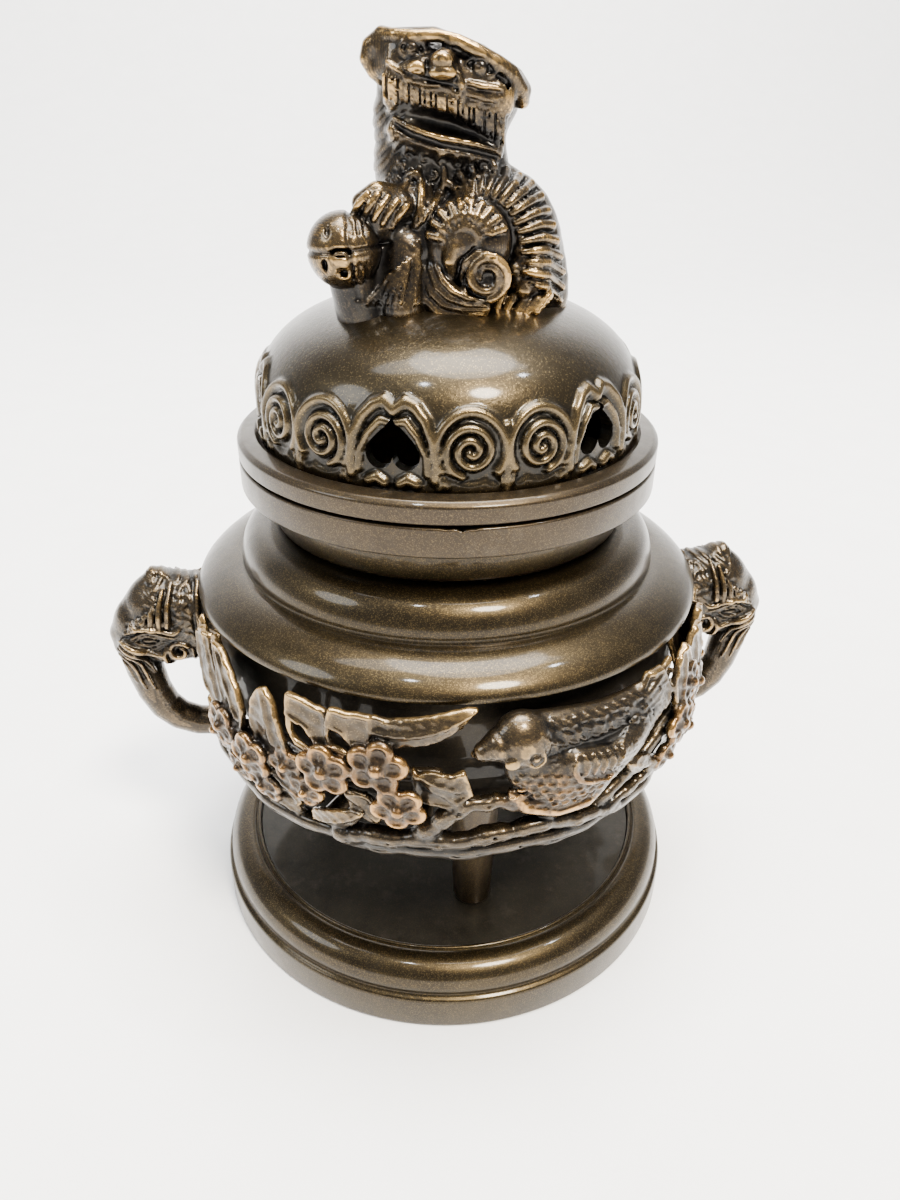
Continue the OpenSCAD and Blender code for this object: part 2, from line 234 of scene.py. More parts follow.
# ---------------------------------------------------------------- mesh helpers
def new_obj(name, verts, faces, mat, body, sharp=None, nodes=()):
    me = bpy.data.meshes.new(name)
    me.from_pydata([tuple(map(float, v)) for v in verts], [], faces)
    me.validate()
    ob = bpy.data.objects.new(name, me)
    bpy.context.scene.collection.objects.link(ob)
    me.polygons.foreach_set("use_smooth", [True] * len(me.polygons))
    if sharp is not None:
        me.set_sharp_from_angle(angle=math.radians(sharp))
    me.materials.append(mat)
    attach(ob, body)
    if nodes:
        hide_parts(*nodes)
    return ob


def paint(ob, name, values):
    """One number a point, read by the materials."""
    at = ob.data.attributes.new(name, "FLOAT", "POINT")
    at.data.foreach_set("value", values.reshape(-1).astype(np.float32))


def fillet(pts, radii, n=4):
    """Rounds the corners of a closed outline, one radius a point."""
    out = []
    for i, r in enumerate(radii):
        p = np.array(pts[i], float)
        u, v = np.array(pts[i - 1], float) - p, np.array(pts[(i + 1) % len(pts)], float) - p
        lu, lv = np.linalg.norm(u), np.linalg.norm(v)
        u, v = u / lu, v / lv
        ang = math.acos(max(-1, min(1, float(u @ v))))
        if ang > math.radians(172):
            out.append(tuple(p))
            continue
        t = min(r / math.tan(ang / 2), lu * 0.45, lv * 0.45)
        for j in range(n + 1):
            s = j / n
            q = (1 - s) ** 2 * (p + u * t) + 2 * s * (1 - s) * p + s * s * (p + v * t)
            out.append(tuple(q))
    return out


def turned(radius, height):
    """Points and faces of a closed surface turned about the axis: one row of each array a step of angle."""
    n, k = radius.shape
    a = (np.arange(n) * 2 * math.pi / n)[:, None]
    V = np.stack([np.sin(a) * radius, -np.cos(a) * radius, height], -1).reshape(-1, 3) * MM
    i = np.arange(n * k).reshape(n, k)
    F = np.stack([i, np.roll(i, -1, 0), np.roll(i, (-1, -1), (0, 1)), np.roll(i, -1, 1)], -1)
    return V, F.reshape(-1, 4).tolist()


def lathe(name, outline, mat, body, segs=256, sharp=50, nodes=(), dent=None):
    """Turns a closed outline of (r, z) in mm about the axis; dent(angle, z) lowers points."""
    prof = np.array(outline, float)
    R, Z = (np.repeat(prof[None, :, i], segs, 0) for i in (0, 1))
    if dent is not None:
        Z = Z - dent((np.arange(segs) * 2 * math.pi / segs)[:, None], Z)
    V, F = turned(R, Z)
    return new_obj(name, V, F, mat, body, sharp, nodes)


def arc(cx, cz, r, a0, a1, n):
    """Points of an arc, from angle a0 to a1 in degrees."""
    steps = [math.radians(a0 + (a1 - a0) * i / n) for i in range(n + 1)]
    return [(cx + r * math.cos(t), cz + r * math.sin(t)) for t in steps]


# ---------------------------------------------------------------- turned parts
def stand():
    # Foot band, soft step, rolled rim, fine bead at the plate's edge
    rim = ([(30.3, 4.9), (30.3, 0.9), (35.1, 0.9), (35.1, 0.0), (37.6, 0.0)] + arc(37.7, 0.6, 0.6, -90, 0, 4)
           + [(38.25, 5.0)] + arc(37.65, 5.2, 0.6, 0, 80, 4)
           + [(37.45, 6.05)] + arc(34.0, 7.2, 3.55, -16, 96, 22)
           + [(33.3, 10.55), (33.15, 10.35), (32.95, 10.42)] + arc(32.65, 10.40, 0.3, 10, 175, 5)
           + [(32.3, 9.9), (32.3, 4.9)])
    lathe("stand_rim", rim, M_LACQ, "burner", nodes=("base_ring",))
    plate = [(0.001, 7.05), (32.2, 7.05), (32.2, 9.95), (31.6, 10.0), (26, 10.02), (18, 10.0),
        (8, 9.98), (0.001, 9.98)]
    lathe("stand_plate", plate, M_PLATE, "burner", 192, 35, ("base_plate",))


def shoulder():
    # Bulged ring, then the shoulder down to its lip
    outline = ([(22.5, 73.1), (25.1, 73.1), (25.1, 68.1), (24.9, 67.75), (24.2, 67.55), (24.0, 67.3)]
               + arc(25.4, 62.55, 4.8, 88, -4, 22)
               + [(30.35, 61.9), (30.75, 61.85), (31.2, 61.86), (32.6, 61.45), (34.0, 60.85), (35.2, 60.15),
                  (36.1, 59.4), (36.65, 58.8), (36.95, 58.25), (36.9, 57.75), (36.5, 57.5), (35.2, 57.3),
                  (32.8, 57.2), (30.8, 57.2), (30.8, 58.8), (27.6, 60.1), (22.5, 64.3)])
    lathe("shoulder_shell", outline, M_LACQ, "burner", nodes=("upper_shell",))


def nicks(angle, z):
    """Small casting nicks in the mouth ring's front edge: place, width and depth."""
    out = 0
    for place, wide, deep in ((0.0, 0.018, 0.45), (0.045, 0.012, 0.25), (-0.06, 0.02, 0.15)):
        off = np.abs(((angle - math.radians(-3) - place + math.pi) % (2 * math.pi)) - math.pi)
        out = out + np.exp(-(off / wide) ** 2) * np.clip((z - out - 76.2) / 0.8, 0, 1) * deep
    return out


def mouth():
    ring = fillet([(17.6, 73.1), (29.3, 73.1), (29.3, 77.0), (25.5, 77.0), (25.5, 74.1), (17.6, 74.1)],
                  [0.1, 0.35, 0.3, 0.25, 0.1, 0.2])
    lathe("mouth_ring_turned", ring, M_BAND, "burner", 360, 40, ("mouth_ring",), nicks)
    flange = fillet([(23.6, 75.2), (25.2, 75.2), (25.2, 77.06), (29.3, 77.35), (29.32, 79.6), (28.7, 80.15),
                     (26.9, 80.4), (26.45, 80.15), (26.1, 79.75), (26.1, 79.2), (23.6, 79.2)],
                    [0.1, 0.2, 0.1, 0.35, 0.6, 0.6, 0.2, 0.1, 0.05, 0.05, 0.1])
    lathe("lid_flange_turned", flange, M_BAND, "lid", 256, 40, ("lid_flange",))


stand()
shoulder()
mouth()

# ---------------------------------------------------------------- clay
def seg_dist(A, Z, pts):
    """Distance of each (A, Z) from a line through the points."""
    d = np.full(A.shape, 99.0)
    for (a, b), (c, e) in zip(pts[:-1], pts[1:]):
        vx, vz = c - a, e - b
        t = np.clip(((A - a) * vx + (Z - b) * vz) / (vx * vx + vz * vz + 1e-9), 0, 1)
        d = np.minimum(d, np.hypot(A - a - t * vx, Z - b - t * vz))
    return d


def tent(v, lo, hi, soft):
    """1 between lo and hi, fading to 0 over soft."""
    return np.clip((v - lo) / soft + 1, 0, 1) * np.clip((hi - v) / soft + 1, 0, 1)


def along(values, n):
    """One number, or a few spread evenly, as n numbers."""
    if np.ndim(values) < 1:
        return np.full(n, float(values))
    if len(values) == n:
        return np.array(values, float)
    return np.interp(np.linspace(0, 1, n), np.linspace(0, 1, len(values)), values)


def spin(P, deg):
    """Points turned about Z."""
    c, s = math.cos(math.radians(deg)), math.sin(math.radians(deg))
    return np.stack([P[:, 0] * c - P[:, 1] * s, P[:, 0] * s + P[:, 1] * c, P[:, 2]], 1)


def same(x, z, y):
    return x, y, z


class Clay:
    """A block of clay in mm: distances on a grid, built up from rounded strokes."""
    def __init__(self, lo, hi, vox):
        self.lo, self.vox = np.array(lo, np.float32), vox
        n = np.ceil((np.array(hi) - np.array(lo)) / vox).astype(int) + 1
        self.ax = [(self.lo[i] + vox * np.arange(n[i])).astype(np.float32) for i in range(3)]
        self.d = np.full(n, 4.0, np.float32)

    def window(self, lo, hi):
        w = []
        for i in range(3):
            a = max(0, int((lo[i] - self.lo[i]) / self.vox))
            b = min(self.d.shape[i], int((hi[i] - self.lo[i]) / self.vox) + 2)
            if b - a < 2:
                return None, None
            w.append(slice(a, b))
        return tuple(w), np.meshgrid(*[self.ax[i][w[i]] for i in range(3)], indexing="ij", sparse=True)

    def blend(self, w, f, k, cut=False):
        d = self.d[w]
        if cut:
            d, f = -d, f
        h = np.clip(0.5 + 0.5 * (d - f) / k, 0, 1)
        r = d + (f - d) * h - k * h * (1 - h)
        self.d[w] = -r if cut else r

    def tube(self, pts, radii, k=0.25, cut=False, flat=(0, 1.0)):
        """A stroke through the points. flat = (axis, factor) thins or widens it along one axis."""
        pts = np.array(pts, float)
        radii = along(radii, len(pts))
        axis, factor = flat
        m = float(max(radii)) * max(1.0, factor) + k + 3 * self.vox
        w, g = self.window(pts.min(0) - m, pts.max(0) + m)
        if w is None:
            return
        f = 99.0
        sc = [1.0, 1.0, 1.0]
        sc[axis] = 1.0 / factor
        for i in range(len(pts) - 1):
            a, b = pts[i] * sc, pts[i + 1] * sc
            e = b - a
            q = [g[j] * sc[j] - a[j] for j in range(3)]
            t = np.clip((q[0] * e[0] + q[1] * e[1] + q[2] * e[2]) / (float(e @ e) + 1e-9), 0, 1)
            away = np.sqrt((q[0] - t * e[0]) ** 2 + (q[1] - t * e[1]) ** 2 + (q[2] - t * e[2]) ** 2)
            f = np.minimum(f, away - (radii[i] + t * (radii[i + 1] - radii[i])))
        self.blend(w, f.astype(np.float32), k, cut)

    def ball(self, c, r, k=0.25, cut=False, turn=0.0):
        """An ellipsoid; turn rolls it about Y, in degrees."""
        r = np.array(r if np.ndim(r) else (r, r, r), float)
        m = float(r.max()) + k + 3 * self.vox
        w, g = self.window(np.array(c) - m, np.array(c) + m)
        if w is None:
            return
        x, y, z = g[0] - c[0], g[1] - c[1], g[2] - c[2]
        if turn:
            ct, st = math.cos(math.radians(turn)), math.sin(math.radians(turn))
            x, z = x * ct - z * st, x * st + z * ct
        n = np.sqrt((x / r[0]) ** 2 + (y / r[1]) ** 2 + (z / r[2]) ** 2)
        n2 = np.sqrt((x / r[0] ** 2) ** 2 + (y / r[1] ** 2) ** 2 + (z / r[2] ** 2) ** 2) + 1e-6
        self.blend(w, (n * (n - 1) / n2).astype(np.float32), k, cut)

    def skin(self, x, z, side, fall):
        """Depth (y) of the surface met when looking along Y from one side at x, z."""
        i = min(max(int(round((x - self.lo[0]) / self.vox)), 0), self.d.shape[0] - 1)
        k = min(max(int(round((z - self.lo[2]) / self.vox)), 0), self.d.shape[2] - 1)
        col = self.d[i, :, k]
        hit = np.nonzero(col < 0)[0]
        if len(hit) == 0:
            return fall
        j = hit[0] if side < 0 else hit[-1]
        n = j - 1 if side < 0 else j + 1
        if n < 0 or n >= len(col):
            return float(self.ax[1][j])
        f = float(col[n] / (col[n] - col[j] + 1e-6))
        return float(self.ax[1][n]) + f * (float(self.ax[1][j]) - float(self.ax[1][n]))

    def vein(self, pts, r, lift=-0.1, k=0.1, cut=False, side=-1, place=same):
        """A stroke over (x, z) points that follows the surface; lift > 0 stands out.
        place(x, z, y) gives the point of the block that belongs to them at depth y."""
        pts = np.array(pts, float)
        n = max(2, (len(pts) - 1) * 4 + 1)
        xs, zs = along(pts[:, 0], n), along(pts[:, 1], n)
        out, last = [], None
        for x, z in zip(xs, zs):
            y = side * 8.0 if last is None else last
            for _ in range(3):
                X, _y, Z = place(x, z, y)
                met = self.skin(X, Z, side, y)
                y = met if last is None or abs(met - last) < 2.2 else last
            X, _y, Z = place(x, z, y)
            last = y
            out.append((X, y, Z))
        out = np.array(out)
        if n > 4:
            out[1:-1, 1] = 0.25 * out[:-2, 1] + 0.5 * out[1:-1, 1] + 0.25 * out[2:, 1]
        out[:, 1] += side * (lift + (-0.12 if cut else 0.10))
        self.tube(out, along(r, n), k, cut)

    def press(self, lo, hi, fn):
        """Pushes the surface out by fn(x, y, z) mm inside a window."""
        w, g = self.window(lo, hi)
        if w is not None:
            self.d[w] -= (fn(*g) * np.clip(1.6 - np.abs(self.d[w]) / 1.5, 0, 1)).astype(np.float32)

    def keep(self, fn):
        """Keeps only what lies where fn(x, y, z) is negative."""
        w, g = self.window(self.lo, [a[-1] for a in self.ax])
        self.d[w] = np.maximum(self.d[w], fn(*g))

    def cavity(self, pts):
        """About 0.5 on flats, lower in hollows, higher on edges."""
        occ = np.clip(0.5 - self.d / (2 * self.vox), 0, 1)
        out = 0
        i0 = np.clip(np.rint((pts - self.lo) / self.vox).astype(int), 0, np.array(self.d.shape) - 1)
        for reach, weight in ((0.45, 0.55), (1.1, 0.45)):
            n = max(1, int(round(reach / self.vox)))
            b = occ
            for ax in range(3):
                for _ in range(2):
                    first, last = (np.take(b, [end], ax) for end in (0, -1))
                    wide = np.concatenate([np.repeat(first, n + 1, ax), b, np.repeat(last, n, ax)], ax)
                    c = np.cumsum(wide, ax)
                    lo = [slice(None)] * 3
                    hi = [slice(None)] * 3
                    lo[ax], hi[ax] = slice(0, b.shape[ax]), slice(2 * n + 1, 2 * n + 1 + b.shape[ax])
                    b = (c[tuple(hi)] - c[tuple(lo)]) / (2 * n + 1)
            out = out + weight * b[i0[:, 0], i0[:, 1], i0[:, 2]]
        low, mid, high = np.percentile(out, (8, 50, 92))
        hollows = (mid - out) / max(high - mid, 0.02) * 0.30
        edges = (mid - out) / max(mid - low, 0.02) * 0.26
        v = np.where(out > mid, hollows, edges)
        return np.clip(0.48 + v, 0, 1)

    def fire(self, names, mat, body, slot, nodes, warp=None, tone=None, warm=None):
        """Turns the clay into a mesh for each name; a second one is the first turned half round."""
        for ax in range(3):
            edge = np.moveaxis(self.d, ax, 0)
            edge[0], edge[-1] = 1.0, 1.0
        g = openvdb.FloatGrid(4.0)
        g.copyFromArray(np.ascontiguousarray(np.clip(self.d, -4, 4).astype(np.float32)), tolerance=0)
        p, tris, quads = g.convertToPolygons(isovalue=0.0, adaptivity=0.0)
        P = p * self.vox + self.lo
        cavity = self.cavity(P)
        # tone adds painted shade and painted highlights to the cavity values
        if tone is not None:
            cavity = np.clip(cavity + tone(P), 0, 1)
        hue = np.zeros(len(P)) if warm is None else warm(P)
        if warp is not None:
            P = warp(P)
        F = [tuple(map(int, f)) for f in tris] + [tuple(map(int, f)) for f in quads]
        for name, deg, covers in zip(names, (0, 180), nodes):
            ob = new_obj(name, spin(P, deg) * MM, F, mat, body, None, covers)
            # cav carries the cavity values with that painted shade and highlight added
            paint(ob, "cav", cavity)
            paint(ob, "warm", hue)


DOME_R = 26.0
DOME_WALL = 2.0
DOME_SPRING = 83.6
DOME_RISE = 14.6
HEART_STEP = 60
HEART_START = -21


def dome_z(r):
    """Height of the dome's outside at radius r."""
    out = np.power(np.clip(r / DOME_R, 0, 1), 2.5)
    return DOME_SPRING + DOME_RISE * np.power(np.clip(1 - out, 0, 1), 0.4)


# ---------------------------------------------------------------- the lion
def face_pt(x, z, y):
    """A point of the lion's front. x and z are its place on the plane y = -6; points in front of that
    plane are drawn a little toward the axis and z = 120, and points behind it away from them."""
    t = y + 6
    return (x * (1 + 0.009 * t), y, z - (120 - z) * 0.0088 * t)


class FrontClay(Clay):
    """Clay whose strokes are placed on the lion's front, as (x, z) or (x, z, depth)."""
    def line(self, pts, r, lift=-0.1, k=0.1, cut=False):
        self.vein(pts, r, lift, k, cut, -1, face_pt)

    def bar(self, pts, r, k=0.25, cut=False, flat=(0, 1.0)):
        self.tube([face_pt(*p) for p in pts], r, k, cut, flat)

    def stroke(self, pts, r, depths, k=0.15, cut=False):
        self.bar([(x, z, y) for (x, z), y in zip(pts, along(depths, len(pts)))], r, k, cut)

    def knob(self, p, r, k=0.25, cut=False, turn=0.0):
        self.ball(face_pt(*p), r, k, cut, turn)

    def depth(self, x, z):
        X, _y, Z = face_pt(x, z, -9)
        return self.skin(X, Z, -1, -9)


def lion_masses(c):
    """Trunk, chest, arm, foreleg, far side, neck, skull, haunches and tail fan."""
    for start, r0, end, r1 in (
            ((-1, 1, 100.8), 8, (4, 2, 99.8), 8.6),
            ((1, 2, 104.4), 8, (-1.4, 1, 111.4), 7),
            ((-5.8, -4.5, 109.2), 3, (-8.6, -8.6, 107.4), 2.4),
            ((-5.4, -7.2, 104.2), 2.9, (-5.6, -9.2, 97.6), 3),
            ((-4, 7, 109.4), 4, (-8, 8, 98.4), 3.6),
            ((-3.4, -0.6, 113), 6, (1.4, -0.4, 112.6), 5.8),
            ((-4, -1.2, 117.8), 5.3, (1.4, -1.2, 117), 5.3),
            ((-4.4, -2.2, 121.9), 4.2, (4, -2, 120.4), 4.2),
            ((9, -3, 104.2), 5, (9.4, -2.2, 100), 5.2),
            ((4.6, -2.4, 108), 5, (8, -1.6, 106.2), 5.2),
            ((8, 2, 101.4), 6.8, (6, 3, 105.4), 6.6),
            ((3.2, 8, 104.4), 5.6, (4, 8.8, 100.4), 4.8)):
        c.tube([start, end], [r0, r1], 1.2)


def lion_face_plate(c):
    """Bands that step forward to the muzzle, and the jaw under them."""
    for (x0, z0), (x1, z1), y, r in (
            ((-6, 124.7), (5.7, 122.4), -6.8, 1.55),
            ((-6, 123.2), (5.8, 121), -7.3, 1.6),
            ((-5.8, 121.7), (5.7, 119.6), -7.2, 1.6),
            ((-6.2, 119.9), (5.2, 117.4), -6.6, 1.4)):
        c.bar([(x0, z0, y + 0.6), ((x0 + x1) / 2, (z0 + z1) / 2 + 0.15, y), (x1, z1, y + 0.7)], r, 0.9)
    c.bar([(-5.6, 116.8, -5.8), (-1, 115.9, -6.6), (4.6, 114.9, -5.4)], [1.7, 1.9, 1.7], 0.9)


def lion_neck_hair(c):
    """Hair down the neck's left side and around its back."""
    def side(x, y, z):
        lock = np.abs(np.sin(3.14 * (x * 0.9 - z * 0.62 + y * 0.25))) - 0.6
        return 0.24 * lock * tent(x, -13, -5.6, 1.2) * tent(z, 108, 119.5, 1.5)

    def back(x, y, z):
        lock = np.abs(np.sin(np.arctan2(x - 1, y + 2) * 9 + 0.9 * np.sin(z * 0.42))) - 0.55
        return 0.42 * lock * tent(y, 3.5, 20, 2) * tent(z, 100, 121.5, 1.5)
    c.press((-14, -8, 107), (-2, 9, 121), side)
    c.press((-14, 1, 97), (15, 16, 123), back)


def lion_mouth(c):
    """A dark lens with a thin lower lip."""
    c.bar([(-5.6, 118.5, -8.4), (-3, 118, -9), (0, 117.35, -9.1), (2.6, 116.6, -8.8), (5.4, 115.5, -7.8)],
        [0.5, 1.25, 1.45, 1.2, 0.4], 0.12, True, (1, 2))
    c.line([(-6.5, 118.1), (-5, 117.3), (-2.85, 116.55), (-1, 116.1), (1, 115.8), (2.85, 115.5),
        (5.4, 114.9)], [0.2, 0.34, 0.34, 0.34, 0.3, 0.2], 0, 0.12)
    c.line([(-6.5, 117.4), (-4.6, 116.4), (-1, 115.3), (2.85, 114.7), (5.6, 114.1)],
        [0.3, 0.4, 0.4, 0.3], -0.02, 0.15, True)


def lion_muzzle(c):
    """Nose ball, bridge and two nostril lobes."""
    c.knob((-2.4, 122.7, -8.6), (3.3, 1, 1.5), 0.7)
    c.bar([(0.1, 125.2, -7.9), (-0.4, 124.4, -8.7), (-0.9, 123.8, -9.2)], [0.75, 0.95, 1.1], 0.6)
    c.knob((-0.95, 123.9, -9.7), (1.25, 0.8, 0.85), 0.35)
    c.knob((-3.6, 123.05, -9.3), (1.25, 0.8, 0.78), 0.16)
    c.knob((-0.9, 122.65, -9.7), (1.6, 0.8, 0.74), 0.14)
    c.line([(-2.65, 123.7), (-2.6, 122.2)], 0.26, 0.05, 0.08, True)
    c.line([(-5.6, 123), (-4.7, 122.1), (-2.9, 121.75), (0.3, 121.6), (1.1, 122.4)], 0.22, 0.08, 0.08, True)
    c.line([(-5.4, 123.7), (-4.4, 124.05), (-3.2, 123.85), (-2.7, 123.4)], 0.18, 0.05, 0.08, True)
    for x, z in ((-3.9, 122.65), (-0.9, 122.2)):
        c.line([(x - 0.35, z), (x + 0.35, z - 0.05)], 0.2, 0.12, 0.06, True)


def lion_fringe(c):
    """Fine hair hanging from the ridge of the upper lip."""
    lip = [(-7.8, 122.9), (-5.4, 121.95), (-2.85, 121.1), (0, 120.6), (1.4, 119.85), (3.4, 119.35),
        (5.55, 119), (6.8, 118.7)]
    low = [(-7.4, 120), (-6.55, 119.6), (-4.3, 119.4), (-2.1, 119.1), (0, 118.5), (2.1, 117.5),
        (4.3, 116.4), (6, 115.2)]
    lx, lz = np.array(lip).T
    bx, bz = np.array(low).T
    for i, x in enumerate(np.arange(-7.5, 6.3, 0.62)):
        zt, zb = float(np.interp(x, lx, lz)), float(np.interp(x, bx, bz))
        c.line([(x, zt - 0.4), (x + 0.1, (zt + zb) / 2), (x + 0.06, zb + 0.15 + 0.12 * math.sin(2.3 * i))],
            [0.22, 0.34, 0.26], 0.06, 0.05)
        c.line([(x + 0.31, zt - 0.5), (x + 0.4, zb + 0.2)], 0.18, 0, 0.05, True)
    c.line(lip, [0.34, 0.5, 0.62, 0.62, 0.54, 0.48, 0.44, 0.36], 0.16, 0.16)
    c.line([(a, b + 0.85) for a, b in lip[1:-1]], 0.24, 0, 0.1, True)


def lion_cheeks(c):
    """Cheek ridges, two to the right and one to the left."""
    for pts in ([(1.9, 121.7), (3.6, 121.35), (5.6, 121.2)], [(1.6, 120.65), (3.5, 120.2), (5.5, 119.85)],
            [(-7.2, 123.7), (-6.4, 123.1), (-5.5, 122.7)]):
        c.line(pts, [0.2, 0.34, 0.22], 0.02, 0.12)
        c.line([(a + 0.1, b - 0.5) for a, b in pts], 0.16, 0.05, 0.08, True)
    c.line([(1, 122.6), (1.35, 121.4), (1, 120.5)], [0.2, 0.34, 0.2], 0.05, 0.15)


BROW = [(-7.6, 126.2), (-6.1, 126.15), (-4, 126.1), (-1.4, 126.15), (0.7, 125.7),
        (2.85, 124.75), (5.3, 123.5), (6.8, 122.5), (7.8, 121), (8.1, 119.9)]


def lion_brow(c):
    """Brow roll with the undercut beneath it and the hood behind."""
    by = [-5.6, -7.2, -8, -8.3, -8.3, -8.1, -7.5, -6.7, -5.6, -4.8]
    c.bar([(-6.9, 125.3, -3.6), (-2, 125.3, -4.6), (3, 123.7, -4.4), (6.6, 121.6, -3)],
        [1.6, 1.75, 1.8, 1.6], 0.6)
    c.stroke(BROW, [0.85, 0.72, 0.64, 0.64, 0.72, 0.86, 0.95, 1.05, 1.05, 0.85], by, 0.35)
    c.line([(a * 0.97 - 0.1, b - 0.85) for a, b in BROW[1:8]], [0.2, 0.28, 0.28, 0.32, 0.38, 0.38, 0.3], 0,
        0.10, True)


def lion_eyes(c):
    """A lidded ball in a shallow socket, twice."""
    for (x, z), rx, rz, tn in (((-4.3, 124.95), 1.5, 0.85, 6), ((3.35, 123.2), 1.8, 0.95, 14)):
        y = -8.1
        c.knob((x, z, y + 0.5), (rx * 1.25, 0.9, rz * 1.3), 0.4)
        c.knob((x, z, y - 0.3), (rx, 0.6, rz), 0.10, True, tn)
        c.knob((x, z, y + 0.1), (rx * 0.52, 0.8, rz * 0.72), 0.05, False, tn)
        c.knob((x - 0.2, z + 0.02, y - 0.55), (0.2, 0.22, 0.2), 0.04, True)
        ca, sa = math.cos(math.radians(-tn)), math.sin(math.radians(-tn))
        for sgn in (1, -1):
            c.bar([(x + (u * ca - v * sa), z + (u * sa + v * ca), y - 0.12)
                for u, v in ((-rx * 1.05, 0), (-rx * 0.5, sgn * rz * 0.8), (rx * 0.2, sgn * rz * 0.95),
                (rx * 0.8, sgn * rz * 0.5), (rx * 1.15, -0.05))], [0.14, 0.24, 0.26, 0.22, 0.12], 0.08)


def lion_ears(c):
    """Folded flaps at the ends of the brow."""
    c.bar([(-7.6, 125.9, -5.2), (-8.8, 125, -4.6), (-9.1, 123.9, -4.4), (-8.5, 122.7, -4.6),
        (-7.9, 121.8, -4.6)], [1.1, 1.15, 1.15, 0.95, 0.6], 0.35)
    c.bar([(-7.2, 124.9, -5.2), (-7.4, 123, -5.2)], [1.5, 1.2], 0.5)
    c.bar([(-7.5, 125.2, -7.4), (-7.6, 123.6, -7.2), (-7.5, 122.3, -6.8)], [0.3, 0.38, 0.3], 0.12, True)
    c.bar([(7, 122, -5.2), (7.9, 120.9, -4.6), (8.2, 119.9, -4.2)], [1.35, 1.3, 0.85], 0.35)
    c.bar([(5.8, 121.6, -5.2), (6.4, 119.8, -4.6)], [1.4, 1.1], 0.5)
    c.bar([(6.4, 122.3, -8), (6.5, 120.8, -7.4), (7, 119.6, -6.6)], [0.28, 0.4, 0.35], 0.12, True)


def lion_beard(c):
    """Low dark curls under the jaw."""
    for i, (x, z) in enumerate(((-4.8, 114.4), (-2.9, 113.9), (-0.9, 113.7), (1.1, 113.5), (3.1, 113.4),
            (-3.9, 112.7), (-1.9, 112.3), (2.2, 112.2), (4.8, 113), (-5.9, 112.9))):
        c.line([(x + (0.72 - 0.07 * j) * math.cos(0.6 * i + 0.7 * j),
            z + (0.66 - 0.06 * j) * math.sin(0.6 * i + 0.7 * j)) for j in range(8)],
            [0.2, 0.26, 0.2], 0, 0.08)


def lion_chest(c):
    """Two long strands in an S, with fine strands beside them."""
    c.bar([(-4.2, 109.4, -6.4), (-2.4, 107.4, -7.2), (-2.8, 104, -7.6)], [2.2, 2.2, 2], 0.9)
    c.line([(-5.3, 110.9), (-4.85, 112.1), (-3.95, 112.3), (-3.35, 111.3), (-3.3, 110), (-3.5, 108.2),
        (-4.4, 106.5)], [0.42, 0.55, 0.55, 0.5, 0.45, 0.3], 0.18, 0.12)
    c.line([(-0.7, 112.85), (-0.6, 111.3), (-1.3, 109.65), (-2.5, 108), (-4, 106.5)],
        [0.35, 0.5, 0.5, 0.4, 0.3], 0.15, 0.12)
    for j in range(5):
        c.line([(-2.4 + 0.42 * j, 111.6 - 0.5 * j), (-2.7 + 0.4 * j, 109.4 - 0.35 * j),
            (-3.6 + 0.5 * j, 107.1 - 0.25 * j)], [0.16, 0.22, 0.16], 0.03, 0.08)
        c.line([(-6.6 - 0.5 * j, 112.2 - 0.3 * j), (-5.9 - 0.5 * j, 111.2 - 0.3 * j)], 0.2, 0.02, 0.08)


def lion_paw(c):
    """The paw on the ball, with its fingers."""
    c.bar([(-6.2, 109.8, -8), (-8.6, 110, -9.2), (-10.4, 109, -9.8)], [1.3, 1.5, 1.3], 0.5)
    c.bar([(-5.6, 108.6, -8.6), (-8.8, 108.4, -10)], [1.4, 1.3], 0.6)
    for a, b in (((-9.7, 110.1), (-11.6, 108)), ((-8.5, 110.1), (-10.3, 107.5)),
                 ((-7.3, 109.8), (-9.1, 107.2)), ((-6.2, 109.4), (-8, 106.8)),
                 ((-5.1, 108.8), (-6.9, 106.4))):
        c.line([a, ((a[0] + b[0]) / 2 - 0.1, (a[1] + b[1]) / 2 + 0.1), b], [0.42, 0.46, 0.34], 0.12, 0.08)


def lion_ball(c):
    """A ball with a pierced pattern, on its foot."""
    cx, cy, cz = -12.45, -10, 104.3

    def seams(x, y, z):
        level = np.exp(-((z - 104.6 - 0.08 * (x + 12.4)) / 0.26) ** 2)
        upright = np.exp(-((x + 11.3 + 0.1 * (z - 104)) / 0.24) ** 2)
        outside = np.sqrt((x - cx) ** 2 + (y - cy) ** 2 + (z - cz) ** 2) > 3.6
        return (-0.40 * level - 0.32 * upright) * outside
    c.tube([(-11.6, -9, 101), (-10.4, -8.4, 96)], [3, 3.4], 0.5)
    c.tube([(-8.6, -6.6, 106.2), (-8, -7.4, 97.6)], [2.6, 3.2], 0.6)
    c.ball((cx, cy, cz), 4.4, 0.15)
    c.press((-18, -15.5, 99), (-7, -5, 109.5), seams)
    for x, z, rx, rz in ((-12.8, 106.85, 0.55, 0.5), (-13.3, 103.4, 1.3, 0.48), (-13, 100.95, 0.72, 0.62),
                         (-15, 105.8, 0.35, 0.7), (-15.4, 101.8, 0.35, 0.8)):
        c.knob((x, z, -13.9), (rx, 1.3, rz), 0.10, True)
    c.knob((-13.3, 103.35, -13.7), (0.95, 0.6, 0.26), 0.05)
    c.bar([(-13 + 0.72 * math.cos(t), 100.95 + 0.62 * math.sin(t), -13.6) for t in np.linspace(0, 6.28, 13)],
        0.18, 0.05)
    for x in (-12, -11.2, -10.4):
        c.line([(x, 107 - 0.25 * abs(x + 11.5)), (x + 0.15, 105.4)], 0.22, 0, 0.06, True)
        c.line([(x + 0.2, 102), (x + 0.1, 100.2)], 0.22, 0, 0.06, True)


